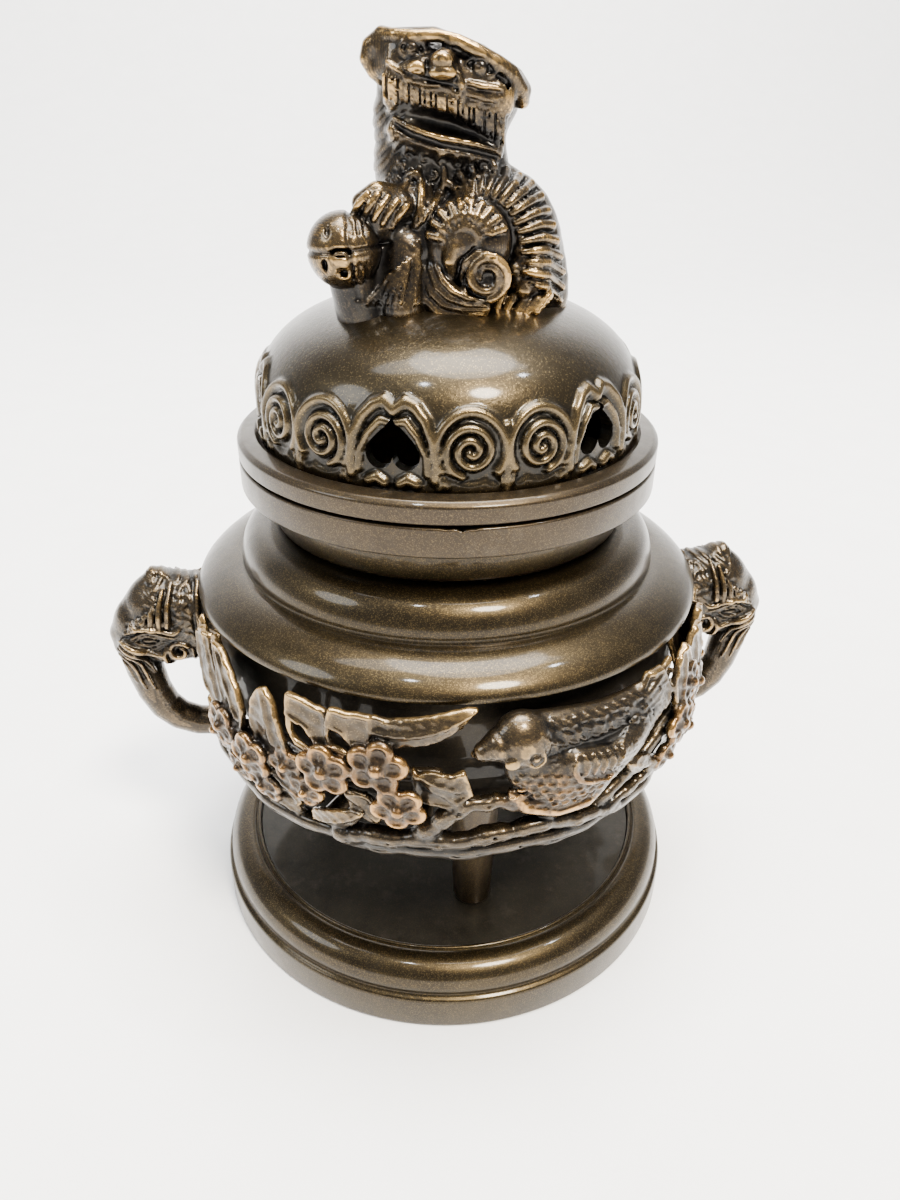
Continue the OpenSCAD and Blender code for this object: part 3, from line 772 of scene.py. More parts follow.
def lion_foreleg(c):
    """Hair on the foreleg."""
    for j in range(6):
        c.line([(-4.6 - 0.55 * j, 103.2 - 0.45 * j), (-5.3 - 0.75 * j, 100.4 - 0.35 * j),
            (-6 - 0.85 * j, 97.4)], [0.2, 0.32, 0.24], 0.08, 0.10)
    for j in range(4):
        c.line([(-4.4 + 0.25 * j, 104.4 + 0.2 * j), (-4.1 + 0.25 * j, 101.2), (-4.2 + 0.35 * j, 97.4)],
            [0.16, 0.24, 0.2], 0.06, 0.08)


def lion_haunch(c):
    """A disc with a smooth hub and petals round its top."""
    c.knob((2.2, 104.6, -8.2), (5.3, 3.4, 5.3), 0.35)
    c.knob((0.8, 104.6, -10.6), (1.6, 1.1, 1.7), 0.8)
    c.bar([(0.7, 104.2, -11.2), (0.2, 102.6, -11.3), (0.5, 101, -10.8)], [0.9, 0.85, 0.6], 0.5)
    for deg in (168, 150, 132, 115, 99, 84, 69, 54, 38, 22):
        t = math.radians(deg)
        ax, az = 2 + 1.7 * math.cos(t), 104.7 + 1.7 * math.sin(t)
        ex, ez = 2.2 + 4.6 * math.cos(t), 104.6 + 4.6 * math.sin(t)
        c.stroke([(ax, az), ((ax + ex) / 2, (az + ez) / 2), (ex, ez)], [0.3, 0.58, 0.66],
            [-11.35, -10.95, -10], 0.06)
        t2 = math.radians(deg - 8)
        c.stroke([(2 + 2.2 * math.cos(t2), 104.7 + 2.2 * math.sin(t2)),
            (2.2 + 4.9 * math.cos(t2), 104.6 + 4.9 * math.sin(t2))], 0.2, [-11.5, -10.1], 0.05, True)
    c.stroke([(2.2 + 5.15 * math.cos(t), 104.6 + 5.15 * math.sin(t)) for t in np.linspace(3.3, 0.1, 18)],
        0.24, -9, 0.08)


def lion_crescents(c):
    """Crescent strands under the disc."""
    for n, pts in enumerate((
            [(-1.6, 104), (-1.5, 101.9), (-0.6, 100.2), (0.6, 99), (2.3, 98.2), (4.6, 97.8)],
            [(-2.2, 104.2), (-2.3, 101.6), (-1.4, 99.4), (0.1, 98.1), (2.2, 97.4), (4.8, 97.2)],
            [(-2.9, 104.4), (-3.1, 101.3), (-2.2, 98.8), (-0.6, 97.3), (1.8, 96.7), (4.8, 96.7)],
            [(-3.5, 104.6), (-3.9, 101), (-3.1, 98.1), (-1.4, 96.4), (1.2, 95.9), (4.4, 96.2)])):
        ys = [-9 + 0.25 * n, -10.4 + 0.3 * n, -11.4 + 0.3 * n, -12 + 0.25 * n, -12.2 + 0.2 * n, -12]
        c.stroke(pts, [0.6, 0.75, 0.8, 0.8, 0.7, 0.5], [y + 0.7 for y in ys], 0.4)
        c.stroke(pts, [0.28, 0.38, 0.42, 0.42, 0.36, 0.22], [y + 0.05 for y in ys], 0.06)


def lion_curl(c):
    """The spiral curl in front of the disc."""
    sp = (4.8, 100.7)
    c.knob((sp[0], sp[1], -10.4), (2.8, 2, 2.8), 0.3)
    c.knob((sp[0] + 0.1, sp[1] - 0.1, -12.6), (1.9, 0.8, 1.8), 0.3, True)
    c.bar([(sp[0] + rr * math.cos(t), sp[1] + rr * math.sin(t), -12 - 0.15 * math.sin(2 * t))
        for t, rr in zip(np.linspace(-1.4, 9.6, 34), np.linspace(2.75, 0.9, 34))],
        [0.5, 0.66, 0.58, 0.46, 0.34], 0.08)
    c.knob((sp[0] + 0.35, sp[1] + 0.1, -12.3), (0.55, 0.6, 0.5), 0.15, True)
    c.line([(5.8, 103.3), (3.6, 103.6), (2.1, 102.5), (1.6, 100.6), (2.2, 98.9)],
        [0.3, 0.42, 0.42, 0.36, 0.25], 0.12, 0.12)
    c.line([(5.6, 103.75), (3.2, 104.1), (1.5, 102.6), (1, 100.5)], 0.2, 0.04, 0.08, True)


def lion_knots(c):
    """Knots beside the curl."""
    c.knob((9.8, 101.4, -7.4), (2.6, 1.6, 3), 0.6)
    for x, z, r in ((8.7, 103.7, 0.85), (10.6, 103.5, 0.75), (10.6, 101.6, 1),
                    (9.4, 99.3, 1.05), (8.2, 101.7, 0.8), (11.7, 99.9, 0.75)):
        c.knob((x, z, c.depth(x, z) + 0.25), (r, 0.75, r), 0.12)
    for x, z in ((9.6, 102.6), (9.2, 100.5), (10.8, 100.3), (9.7, 104.2)):
        c.knob((x, z, c.depth(x, z)), (0.34, 0.6, 0.34), 0.08, True)


def lion_fan(c):
    """Fan of mane and tail locks to the right."""
    tips = ((0.6, 112), (1.9, 113), (3.25, 113.7), (4.6, 114), (5.9, 113.9), (7.4, 113.5), (8.9, 112.9),
            (10.4, 112.1), (11.6, 110.8), (12.5, 109.2), (13.2, 107.6), (13.8, 105.8), (14.3, 104),
            (14.7, 102.2), (14.8, 100.4), (14.6, 98.8))
    last = len(tips) - 1

    def root(x, z, across, up, left):
        """Where a lock that ends at x, z starts, nearer to the haunch."""
        return 4.2 + (x - 4.2) * across - left, 103.2 + (z - 103.2) * up
    for i, (x, z) in enumerate(tips):
        f = i / last
        c.bar([(*root(x, z, 0.55, 0.62, 0.5), -6.6 + 0.9 * f), (x - 1.7, z - 1.7, -2.8 + 0.8 * f)],
            [1.9, 1.7], 0.9)
        c.bar([(x - 1.9, z - 1.9, -2 + 0.8 * f), (x - 2.4, z - 2.2, 2.5 + f)], [1.9, 2.2], 0.9)
    for i, (x, z) in enumerate(tips):
        f = i / last
        rx, rz = root(x, z, 0.56, 0.64, 0.8)
        c.line([(rx, rz), ((x + rx) / 2 + 0.2, (z + rz) / 2 + 0.1), (x - 0.75, z - 0.75)],
            [0.36, 0.62, 0.56], 0, 0.07)
        nx, nz = tips[min(i + 1, last)]
        gx, gz = (x + nx) / 2, (z + nz) / 2
        c.line([root(gx, gz, 0.6, 0.66, 0.8), (gx - 0.7, gz - 0.7)], [0.16, 0.2], 0, 0.05, True)
        c.bar([(x - 0.8, z - 0.8, -3.6 + 0.8 * f), (x - 1, z - 1, 0.5 + f), (x - 2.2, z - 1.5, 4 + f)],
            [0.6, 0.6, 0.4], 0.12)
    for a, b in (((6.8, 98.6), (5.6, 95.7)), ((8.2, 98.3), (6.9, 95.6)), ((9.7, 98.2), (8.3, 95.7)),
                 ((11.2, 98.2), (9.7, 96)), ((12.6, 98.6), (11.2, 96.6))):
        c.stroke([a, b], [0.62, 0.5], [-8, -9], 0.3)
        c.line([(a[0] + 0.6, a[1]), (b[0] + 0.6, b[1])], 0.2, 0.04, 0.08, True)


def lion_back(c):
    """Far hind leg with toes, a tail lying up the back with its knots, and mane strands."""
    c.tube([(-8.4, 8.4, 101), (-9.4, 7, 97.6)], [2, 1.8], 0.4)
    for j in range(3):
        c.tube([(-9.6 + 0.9 * j, 5.2 - 0.7 * j, 98), (-10.6 + 0.9 * j, 4 - 0.8 * j, 96.6)], [0.7, 0.6], 0.1)
    c.tube([(7.5, 8.2, 99.5), (5.5, 9.8, 103.5), (3, 9.6, 108), (1.6, 7.8, 112), (0.8, 6.6, 115.4)],
        [1.9, 2.1, 1.9, 1.6, 1.3], 0.6)
    for j in range(8):
        z = 101 + 1.9 * j
        x = 6.6 - 0.78 * j
        c.vein([(x - 1.5, z - 0.9), (x, z + 0.7), (x + 1.5, z - 0.5)], [0.24, 0.42, 0.24],
            0.08, 0.10, False, 1)
    for j in range(3):
        c.vein([(-3.4 - 1.1 * j, 117.6), (-4.2 - 1.3 * j, 111), (-4.4 - 1.5 * j, 104), (-4 - 1.6 * j, 98.4)],
            [0.3, 0.5, 0.5, 0.3], 0.10, 0.12, False, 1)


def lion_painted_shade(P):
    """Painted shade under the brow, in the mouth and in the nook beside the foreleg, a painted shadow on the
    ball's foot, and a darker beard.
    """
    x, y, z = P.T
    front = np.clip((-3 - y) / 3, 0, 1)
    beard = front * tent(x, -5.5, 6.5, 1.2) * tent(z, 112, 118.2, 0.9)
    foot = tent(x, -16, -6.9, 1) * tent(z, 90, 99.6, 1)
    nook = tent(x, -8.6, -5.6, 0.8) * tent(z, 99.5, 106, 0.8) * front
    # under and lens place the painted shade under the brow and inside the mouth; foot is the painted shadow
    # under the ball
    under = seg_dist(x, z, [(a + 0.05, b - 1) for a, b in BROW[1:8]])
    lens = seg_dist(x, z, [(-5.2, 118.9), (-3, 118.4), (0, 117.8), (2.6, 117), (5, 115.9)])
    lines = 0.32 * np.exp(-(under / 0.36) ** 2) + 0.5 * np.exp(-(lens / 0.85) ** 4)
    return -0.22 * beard - 0.30 * foot - 0.14 * nook - front * lines


def lion():
    c = FrontClay((-18.6, -16.6, 92.4), (17.4, 15.4, 127.9), 0.25)
    for part in (lion_masses, lion_face_plate, lion_neck_hair, lion_mouth, lion_muzzle, lion_fringe,
                 lion_cheeks, lion_brow, lion_eyes, lion_ears, lion_beard, lion_chest, lion_paw, lion_ball,
                 lion_foreleg, lion_haunch, lion_crescents, lion_curl, lion_knots, lion_fan, lion_back):
        part(c)
    # The underside follows the dome, and the whole figure is turned a little to the left
    c.keep(lambda x, y, z: (dome_z(np.sqrt(x * x + y * y)) - 0.9 - z) * 0.85)
    covers = ("lion_body", "lion_head", "lion_haunches", "lion_ball")
    # The last argument adds painted shade and a painted shadow to the lion's cavity values.
    c.fire(("lion",), M_LION, "lid", "cast_bronze", (covers,), lambda P: spin(P, -7), lion_painted_shade)


lion()

# ---------------------------------------------------------------- the dome
def heart_outline(w, n=40):
    """A heart about 2 w wide and 2 w high, tip up."""
    pts = []
    for i in range(n):
        t = 2 * math.pi * i / n
        x = 16 * math.sin(t) ** 3
        z = 13 * math.cos(t) - 5 * math.cos(2 * t) - 2 * math.cos(3 * t) - math.cos(4 * t)
        pts.append((x * w / 16, -(z - 2.5) * w / 15))
    return pts


def frieze(A, Z):
    """Relief height over one sixth of the dome; A runs -13.6 to 13.6 mm around, the heart at 0."""
    h = np.zeros(A.shape)
    ground = np.zeros(A.shape)

    def ridge(pts, w, amp):
        nonlocal h
        d = seg_dist(A, Z, pts)
        h = np.maximum(h, amp * np.clip(1 - (d / (1.35 * w)) ** 2, 0, 1) ** 1.2)

    def hollow(d, r):
        nonlocal ground
        ground = np.maximum(ground, np.clip((r - d) / 0.5, 0, 1))
    cz = 85.1
    hollow(np.hypot(A, (Z - 84.6) * 0.85), 4.9)
    for side in (-1, 1):
        cx = 9.3 * side
        hollow(np.hypot(A - cx, (Z - cz) * 0.95), 4)
        hollow(np.hypot(A - side * 12.2, (Z - 82.4)), 1.6)
        # Scroll and its outer end
        th = np.linspace(0, 2 * math.pi * 2.1, 60)
        turns = zip(0.35 + 2.85 * th / th[-1], -1.9 - (th[-1] - th))
        end = ((3.2, -1.9), (3.4, -2.3), (3.9, -2.6))
        for curl, w, amp in ((turns, 0.46, 0.62), (end, 0.42, 0.55)):
            ridge([(cx + side * r * math.cos(f), cz + r * math.sin(f)) for r, f in curl], w, amp)
        # Arch over the scroll
        arch = [math.radians(t) for t in range(-38, 219, 12)]
        ridge([(cx + 4.15 * math.cos(t), cz + 0.1 + 4.25 * math.sin(t)) for t in arch], 0.52, 0.66)
        for pts, w, amp in (
                # The heart's frame, rising to a cusp over its tip, and a line inside it
                (((5.15, 81.6), (5.3, 83.6), (4.9, 86.2), (4, 88.4), (2.7, 89.8), (1.3, 90.3), (0, 89.4)),
                 0.62, 0.72),
                (((4.2, 82.2), (4.1, 84.4), (3.1, 86.6), (1.6, 88.3), (0, 88)), 0.42, 0.45),
                # Small lobes under the heart and between the scrolls
                (((1, 80.9), (1.9, 81.5), (2.9, 81)), 0.62, 0.6),
                (((5.6, 80.6), (6.2, 81.6), (6.5, 80.8)), 0.45, 0.5),
                # Leaf strokes between neighbouring scrolls
                (((13.6, 80.2), (13.5, 84), (13.6, 87.8)), 0.5, 0.5),
                (((13, 81), (12.7, 82.6), (13.2, 84.2)), 0.34, 0.4)):
            ridge([(side * x, z) for x, z in pts], w, amp)
    return h * 0.80 - 0.34 * ground * (1 - np.clip(h / 0.3, 0, 1))


def dome_outline():
    """The dome's section in (r, z), and the number of its points that are on the outside."""
    pts = []
    for z in [79.2, 79.45] + [79.8 + 0.24 * i for i in range(50)]:
        t = math.asin(max(0, (z - DOME_SPRING) / DOME_RISE) ** (1 / 0.8))
        pts.append((DOME_R * math.cos(t) ** 0.8, z))
    for i in range(1, 26):
        u = t + (math.pi / 2 - t) * i / 26
        pts.append((DOME_R * math.cos(u) ** 0.8, DOME_SPRING + DOME_RISE * math.sin(u) ** 0.8))
    pts += [(1.6, 98.15), (1.6, 96.2)]
    outside = len(pts) - 1
    r, rise = DOME_R - DOME_WALL, DOME_RISE - DOME_WALL
    for i in range(1, 15):
        u = math.pi / 2 * (1 - i / 15)
        pts.append((r * math.cos(u) ** 0.8, DOME_SPRING + rise * math.sin(u) ** 0.8))
    return np.array(pts + [(r, 83), (r, 79.2)]), outside


def heart_cutter():
    """Six heart-shaped bars that run through the wall."""
    vs, fs = [], []
    heart = heart_outline(3.35)
    n = len(heart)
    for i in range(6):
        az = math.radians(HEART_START + HEART_STEP * i)
        s, k = math.sin(az), math.cos(az)
        b = len(vs)
        for r in (21.5, 29):
            for x, z in heart:
                u = x * (1 + 0.02 * (r - DOME_R))
                vs.append((r * s + u * k, -r * k + u * s, 84.55 + z))
        fs += [tuple(b + (n - 1 - j) for j in range(n)), tuple(b + n + j for j in range(n))]
        fs += [(b + j, b + (j + 1) % n, b + n + (j + 1) % n, b + n + j) for j in range(n)]
    me = bpy.data.meshes.new("heart_cutter")
    me.from_pydata([tuple(q * MM for q in v) for v in vs], [], fs)
    bm = bmesh.new()
    bm.from_mesh(me)
    bmesh.ops.recalc_face_normals(bm, faces=bm.faces)
    bm.to_mesh(me)
    bm.free()
    ob = bpy.data.objects.new("heart_cutter", me)
    bpy.context.scene.collection.objects.link(ob)
    return ob


def dome():
    steps = 600
    prof, outside = dome_outline()
    nx, nz = np.gradient(prof[:, 1]), -np.gradient(prof[:, 0])
    length = np.hypot(nx, nz)
    deg = (np.degrees(np.arange(steps) * 2 * math.pi / steps) - HEART_START + 30) % HEART_STEP - 30
    A = (deg * math.pi / 180 * DOME_R)[:, None] * np.ones(len(prof))
    Z = np.ones(steps)[:, None] * prof[None, :, 1]
    H = frieze(A, Z)
    H[:, outside:] = 0
    H *= np.clip((Z - 79.5) / 0.5, 0, 1) * np.clip((93 - Z) / 1, 0, 1)
    V, F = turned(prof[None, :, 0] + H * (nx / length)[None], Z + H * (nz / length)[None])
    ob = new_obj("dome_lid", V, F, M_DOME, "lid", 60, ("lid_dome", "lid_scrolls"))
    # Hollows are dark, crests are rubbed
    around = np.roll(H, 4, 0) + np.roll(H, -4, 0) + np.roll(H, 4, 1) + np.roll(H, -4, 1)
    cavity = np.clip(0.48 + H * 0.40 + (H - around / 4) * 0.7, 0, 1)
    cavity[:, outside:] = 0.25
    paint(ob, "cav", cavity)
    cutter = heart_cutter()
    md = ob.modifiers.new("hearts", "BOOLEAN")
    md.operation, md.object, md.solver = "DIFFERENCE", cutter, "EXACT"
    pierced = bpy.data.meshes.new_from_object(ob.evaluated_get(bpy.context.evaluated_depsgraph_get()))
    ob.modifiers.clear()
    ob.data = pierced
    bpy.data.objects.remove(cutter)


dome()


# ---------------------------------------------------------------- elephant handles
class HeadClay(Clay):
    """Clay for one elephant head; its strokes are made on both cheeks."""
    def both(self, pts, r, lift=0.0, k=0.08, cut=False):
        for side in (-1, 1):
            self.vein(pts, r, lift, k, cut, side)


def elephant_masses(c):
    # Neck, skull, crest, brow wedge
    c.tube([(33.5, 0, 51.6), (38.5, 0, 51.3)], [6.3, 6], 0.6, False, (1, 0.86))
    c.tube([(38.5, 0, 51.6), (42.6, 0, 52.2), (45.8, 0, 49.8)], [6.2, 6.1, 5], 0.8, False, (1, 0.84))
    c.tube([(43, 0, 57), (43.6, 0, 57.9)], [1.8, 1.15], 1)
    c.tube([(43.2, 0, 57), (46.6, 0, 52.8), (49.7, 0, 48.2)], [1.7, 2.2, 1.7], 1.2)
    c.tube([(45, 0, 52), (48, 0, 48.3)], [3.6, 3], 0.9)
    c.tube([(49.9, 0, 48.2), (50, 0, 46.2)], [1.7, 1.5], 0.7)
    c.tube([(47.6, -2.2, 47.4), (47.6, 2.2, 47.4)], [2.3, 2.3], 0.8)
    # Cheek and jaw over the loop
    c.tube([(38.6, 0, 47), (43.4, 0, 46.4)], [3, 3], 0.8, False, (1, 1.45))
    # Trunk, curling back under the belly
    trunk = [(47.7, 0, 45.6), (47.5, 0, 41.6), (46.7, 0, 37.6), (45.4, 0, 34.4), (43.4, 0, 32.2),
        (40.6, 0, 30.9), (37.6, 0, 30.6), (34.6, 0, 31.4)]
    c.tube(trunk, [3.3, 2.85, 2.65, 2.5, 2.4, 2.35, 2.3, 2.2], 0.7)
    # Flanks taper to the crest
    for sgn in (-1, 1):
        c.tube([(40.5, sgn * 7.6, 59), (46.5, sgn * 6.9, 54), (51, sgn * 6, 50)], [2.6, 2.6, 2.4], 0.8, True)
    c.tube([(36, 0, 61.4), (38.6, 0, 60.2), (40.4, 0, 60.6)], [2.6, 2.3, 1.8], 1, True, (1, 3))
    # Pitted, hammered texture on crest and neck
    def dents(x, y, z):
        waves = 0.26 * np.sin(2.9 * x + 1.6 * np.sin(2.3 * z) + 0.7 * y)
        waves = waves * np.sin(3.1 * z + 1.4 * np.sin(1.9 * x))
        return waves * tent(z - (x - 38) * 0.35, 48.8, 60, 1) * tent(x, 30, 43.5, 2)
    c.press((34, -8, 47), (46.5, 8, 59.6), dents)


def elephant_brow(c):
    # Forehead folds running down to the brow
    for i, u in enumerate((41.9, 43.1, 44.3, 45.5, 46.6, 47.6)):
        zt = 57.6 - 1.30 * max(0, u - 42.6)
        c.both([(u - 0.9, zt), (u - 0.3, (zt + 52) / 2 + 0.2), (u, 52 - 0.2 * i)],
            [0.22, 0.46, 0.56], 0.06, 0.10)
        c.both([(u - 0.1, zt - 0.9), (u + 0.4, (zt + 52) / 2), (u + 0.6, 52 - 0.2 * i)],
            [0.14, 0.24, 0.24], 0.03, 0.06, True)
    # Scalloped brow line, above and below
    br = [(40, 51.2), (41.2, 50.5), (42.4, 50.9), (43.6, 51.4), (45, 51.55), (46.3, 51.2),
        (47.5, 50.4), (48.8, 49.9)]
    c.both(br, [0.2, 0.34, 0.38, 0.38, 0.36, 0.32, 0.26, 0.18], 0.12, 0.10)
    c.both([(u, z - 0.62) for u, z in br], 0.22, 0.02, 0.06, True)
    c.both([(u, z - 1.1) for u, z in br[1:-1]], 0.22, 0.02, 0.06)


def elephant_eyes(c):
    # Almond eye with rings of lids
    for sd in (-1, 1):
        y = c.skin(45.1, 48.9, sd, sd * 4.5)
        c.ball((45.1, y, 48.9), (1.75, 0.35, 0.75), 0.10, True)
        c.ball((45.1, y - sd * 0.15, 48.9), (1.1, 0.45, 0.42), 0.05)
    c.both([(43.2, 48.9), (44.2, 49.6), (45.3, 49.8), (46.3, 49.5), (47.2, 48.9)],
        [0.12, 0.22, 0.24, 0.2, 0.1], 0.08)
    c.both([(43.2, 48.9), (44.2, 48.15), (45.3, 47.95), (46.3, 48.2), (47.2, 48.9)],
        [0.12, 0.24, 0.26, 0.2, 0.1], 0.08)
    c.both([(43, 48.2), (44.2, 47.45), (45.6, 47.25), (46.9, 47.7)], 0.2, 0.04)


def elephant_ears(c):
    # Ridge from the cheek forward to the brow tip
    c.both([(43.6, 46.3), (45.2, 46.6), (46.8, 47.2), (48.3, 48), (49.6, 48.6)],
        [0.3, 0.5, 0.52, 0.42, 0.25], 0.15, 0.12)
    # Curled ear with a hook in front of it
    c.both([(40.9 + 1.7 * math.cos(t) * f, 46.9 + 1.7 * math.sin(t) * f)
        for t, f in zip(np.linspace(2.6, -4.4, 18), np.linspace(1, 0.42, 18))],
        [0.34, 0.42, 0.4, 0.26], 0.16)
    for sd in (-1, 1):
        y = c.skin(40.9, 46.8, sd, sd * 5)
        c.ball((40.9, y, 46.8), (0.55, 0.7, 0.55), 0.08, True)
    c.both([(42.8, 47.7), (43.2, 46.2), (43, 44.9), (42.3, 44.2)], [0.26, 0.4, 0.4, 0.2], 0.12, 0.10)


def elephant_folds(c):
    # Collar seam and link tabs at the neck
    c.both([(37.9, 57.4), (37.9, 54.6), (37.9, 51.5), (37.9, 48.4), (37.9, 45.6)], 0.18, 0.05, 0.06, True)
    c.both([(37.3, 57.4), (37.3, 54.6), (37.3, 51.5), (37.3, 48.4), (37.3, 46)], 0.3, -0.05, 0.15)
    c.both([(38.9, 47.4), (38.9, 45)], 0.28, 0.06, 0.06)
    c.both([(37.8, 47.4), (37.8, 45)], 0.28, 0.06, 0.06)
    # Lip folds: arcs from the brow tip that run down the trunk
    c.both([(50, 47.5), (49, 47.3), (47.6, 46.5), (46.4, 45.2), (45.8, 43.6), (45.4, 42)],
        [0.25, 0.38, 0.42, 0.4, 0.34, 0.2], 0.10)
    c.both([(50.4, 46.6), (49.2, 46.4), (48, 45.6), (47.1, 44.2), (46.7, 42.4), (46.4, 40.8), (45.8, 39.2)],
        [0.25, 0.34, 0.36, 0.34, 0.32, 0.28, 0.16], 0.10)
    c.both([(50.4, 45.7), (49.4, 45.3), (48.6, 44.4), (48, 43), (47.7, 41.2), (47.2, 39.4)],
        [0.2, 0.3, 0.32, 0.3, 0.26, 0.16], 0.10)
    c.both([(50, 44.6), (49.3, 43.6), (48.9, 42), (48.4, 40.6)], [0.2, 0.26, 0.22, 0.12], 0.06)
    for q in ([(49.6, 46.9), (48.3, 46.2), (47.1, 45), (46.4, 43.2)],
            [(49.8, 46), (48.6, 45.1), (47.7, 43.6), (47.2, 41.2)]):
        c.both(q, 0.15, 0.02, 0.05, True)


def behind_neck(x, y, z):
    """Positive inside the shell of the bowl, where the heads are cut off."""
    r = np.where(z < 57.6, 34.85, 35.6)
    under = np.where(z < 46.6, ((46.6 - z) / 20) ** 2, 0)
    return r * np.sqrt(np.clip(1 - under, 0, 1)) - np.sqrt(x * x + y * y)


def elephants():
    c = HeadClay((33, -7.6, 27.6), (51.95, 7.6, 59.7), 0.24)
    for part in (elephant_masses, elephant_brow, elephant_eyes, elephant_ears, elephant_folds):
        part(c)
    c.keep(behind_neck)
    c.fire(("elephant_handle_cast_right", "elephant_handle_cast_left"), M_CAST, "burner", "cast_bronze",
           (("elephant_handle_right",), ("elephant_handle_left",)))


elephants()


# ---------------------------------------------------------------- openwork relief
def belly_r(z):
    """Radius of the belly at height z."""
    q = (z - 46.6) / np.where(z > 46.6, 52, 33)
    return 38.3 * np.sqrt(1 - q * q)


# The relief is modelled unrolled at this radius, where one degree is DEG_MM wide
FLAT_R = 38.5
DEG_MM = math.radians(1) * FLAT_R


class ReliefClay(Clay):
    """Clay for the belly's openwork, unrolled: azimuth in degrees, depth and height in mm."""
    def line(self, pts, r, lift=0.0, k=0.08, cut=False):
        self.vein([(a * DEG_MM, z) for a, z in pts], r, lift, k, cut)

    def rod(self, pts, r, k=0.25, cut=False, flat=(0, 1.0)):
        self.tube([(a * DEG_MM, y, z) for a, y, z in pts], r, k, cut, flat)

    def lump(self, p, r, k=0.25, cut=False):
        self.ball((p[0] * DEG_MM, p[1], p[2]), r, k, cut)


def rounded(a, o, r):
    """Where two shapes meet, with the edge between them rounded."""
    a, o = a + r, o + r
    return np.minimum(np.maximum(a, o), 0) + np.sqrt(np.maximum(a, 0) ** 2 + np.maximum(o, 0) ** 2) - r


def leaf(c, base, tip, w, h0, h1, bend=0.0, fold=0.5, bow=0.5, th=0.9):
    """A pointed leaf between two points given as azimuth and height; h0 and h1 stand out from the belly."""
    b = np.array((base[0] * DEG_MM, base[1]))
    t = np.array((tip[0] * DEG_MM, tip[1]))
    L = float(np.linalg.norm(t - b))
    e = (t - b) / L
    n = np.array((-e[1], e[0]))
    m = w + abs(bend) + 1.5
    lo = (min(b[0], t[0]) - m, -max(h0, h1) - bow - 2.5, min(b[1], t[1]) - m)
    hi = (max(b[0], t[0]) + m, -min(h0, h1) + 2.5 + fold, max(b[1], t[1]) + m)
    win, g = c.window(lo, hi)
    if win is None:
        return
    px, py, pz = g[0] - b[0], g[1], g[2] - b[1]
    s = (px * e[0] + pz * e[1]) / L
    q = px * n[0] + pz * n[1] - bend * np.sin(math.pi * np.clip(s, 0, 1))
    sc = np.clip(s, 0, 1)
    W = 0.5 * w * 1.62 * np.power(sc + 0.02, 0.42) * np.power(1 - sc, 0.72)
    ys = -(h0 + (h1 - h0) * sc + bow * np.sin(math.pi * sc)) + fold * np.abs(q) / (0.5 * w)
    veins = np.abs(np.sin(math.pi * (sc * L + 0.9 * np.abs(q)) / 1.5))
    ys = ys - 0.32 * np.exp(-(q / 0.32) ** 2) + 0.13 * veins
    side = np.maximum(np.abs(q) - W, np.maximum(-s * L, (s - 1) * L))
    c.blend(win, rounded(np.abs(py - ys) - th / 2, side, 0.3).astype(np.float32), 0.2)


def plate(c, pts, h, su, sz, ribs=None, th=1.0):
    """A leaf cut to an outline of azimuth and height points: slanted face, raised rim and one rib."""
    Q = [(a * DEG_MM, z) for a, z in pts]
    us, zs = [q[0] for q in Q], [q[1] for q in Q]
    mu, mz = sum(us) / len(us), sum(zs) / len(zs)
    win, g = c.window((min(us) - 1.5, -h - 3, min(zs) - 1.5), (max(us) + 1.5, -h + 3, max(zs) + 1.5))
    if win is None:
        return
    U, _, Z = np.broadcast_arrays(*g)
    U, Z = U[:, 0, :], Z[:, 0, :]
    d = seg_dist(U, Z, Q + Q[:1])
    inside = np.zeros(U.shape, bool)
    for (x0, z0), (x1, z1) in zip(Q, Q[1:] + Q[:1]):
        inside ^= ((z0 > Z) != (z1 > Z)) & (U < (x1 - x0) * (Z - z0) / (z1 - z0 + 1e-9) + x0)
    o = np.where(inside, -d, d)
    top = -(h + su * (U - mu) + sz * (Z - mz)) - 0.38 * np.exp(-((d - 0.3) / 0.34) ** 2)
    if ribs:
        top = top - 0.5 * np.exp(-(seg_dist(U, Z, [(a * DEG_MM, z) for a, z in ribs]) / 0.42) ** 2)
    top = top + 0.10 * np.sin(2.1 * U + 1.3 * Z) * np.sin(1.7 * Z - 0.6 * U)
    slab = np.abs(g[1] - (top[:, None, :] + th / 2)) - th / 2
    c.blend(win, rounded(slab, o[:, None, :], 0.2).astype(np.float32), 0.1)


def blossom(c, az, z, r, h, turn):
    """Five cupped petals with a vein in each, and a bead heart with five stamens."""
    u = az * DEG_MM

    def way(i):
        a = math.radians(turn + 72 * i + 90)
        return r * math.cos(a), r * math.sin(a)
    for i in range(5):
        eu, ez = way(i)
        pu, pz = u + 0.60 * eu, z + 0.60 * ez
        c.ball((pu, -h, pz), (0.48 * r, 0.95, 0.48 * r), 0.10)
        c.ball((pu - 0.02 * eu, -h - 0.98, pz - 0.02 * ez + 0.1), (0.31 * r, 0.85, 0.31 * r), 0.30, True)
        c.tube([(u + 0.3 * eu, -h - 0.35, z + 0.3 * ez), (pu, -h - 0.42, pz)], 0.13, 0.06)
    c.ball((u, -h - 0.1, z), (0.42 * r, 0.8, 0.42 * r), 0.12)
    c.ball((u, -h - 0.75, z), (0.25 * r, 0.7, 0.25 * r), 0.06)
    for i in range(5):
        eu, ez = way(i + 0.5)
        c.ball((u + 0.36 * eu, -h - 0.72, z + 0.36 * ez), 0.2, 0.05)


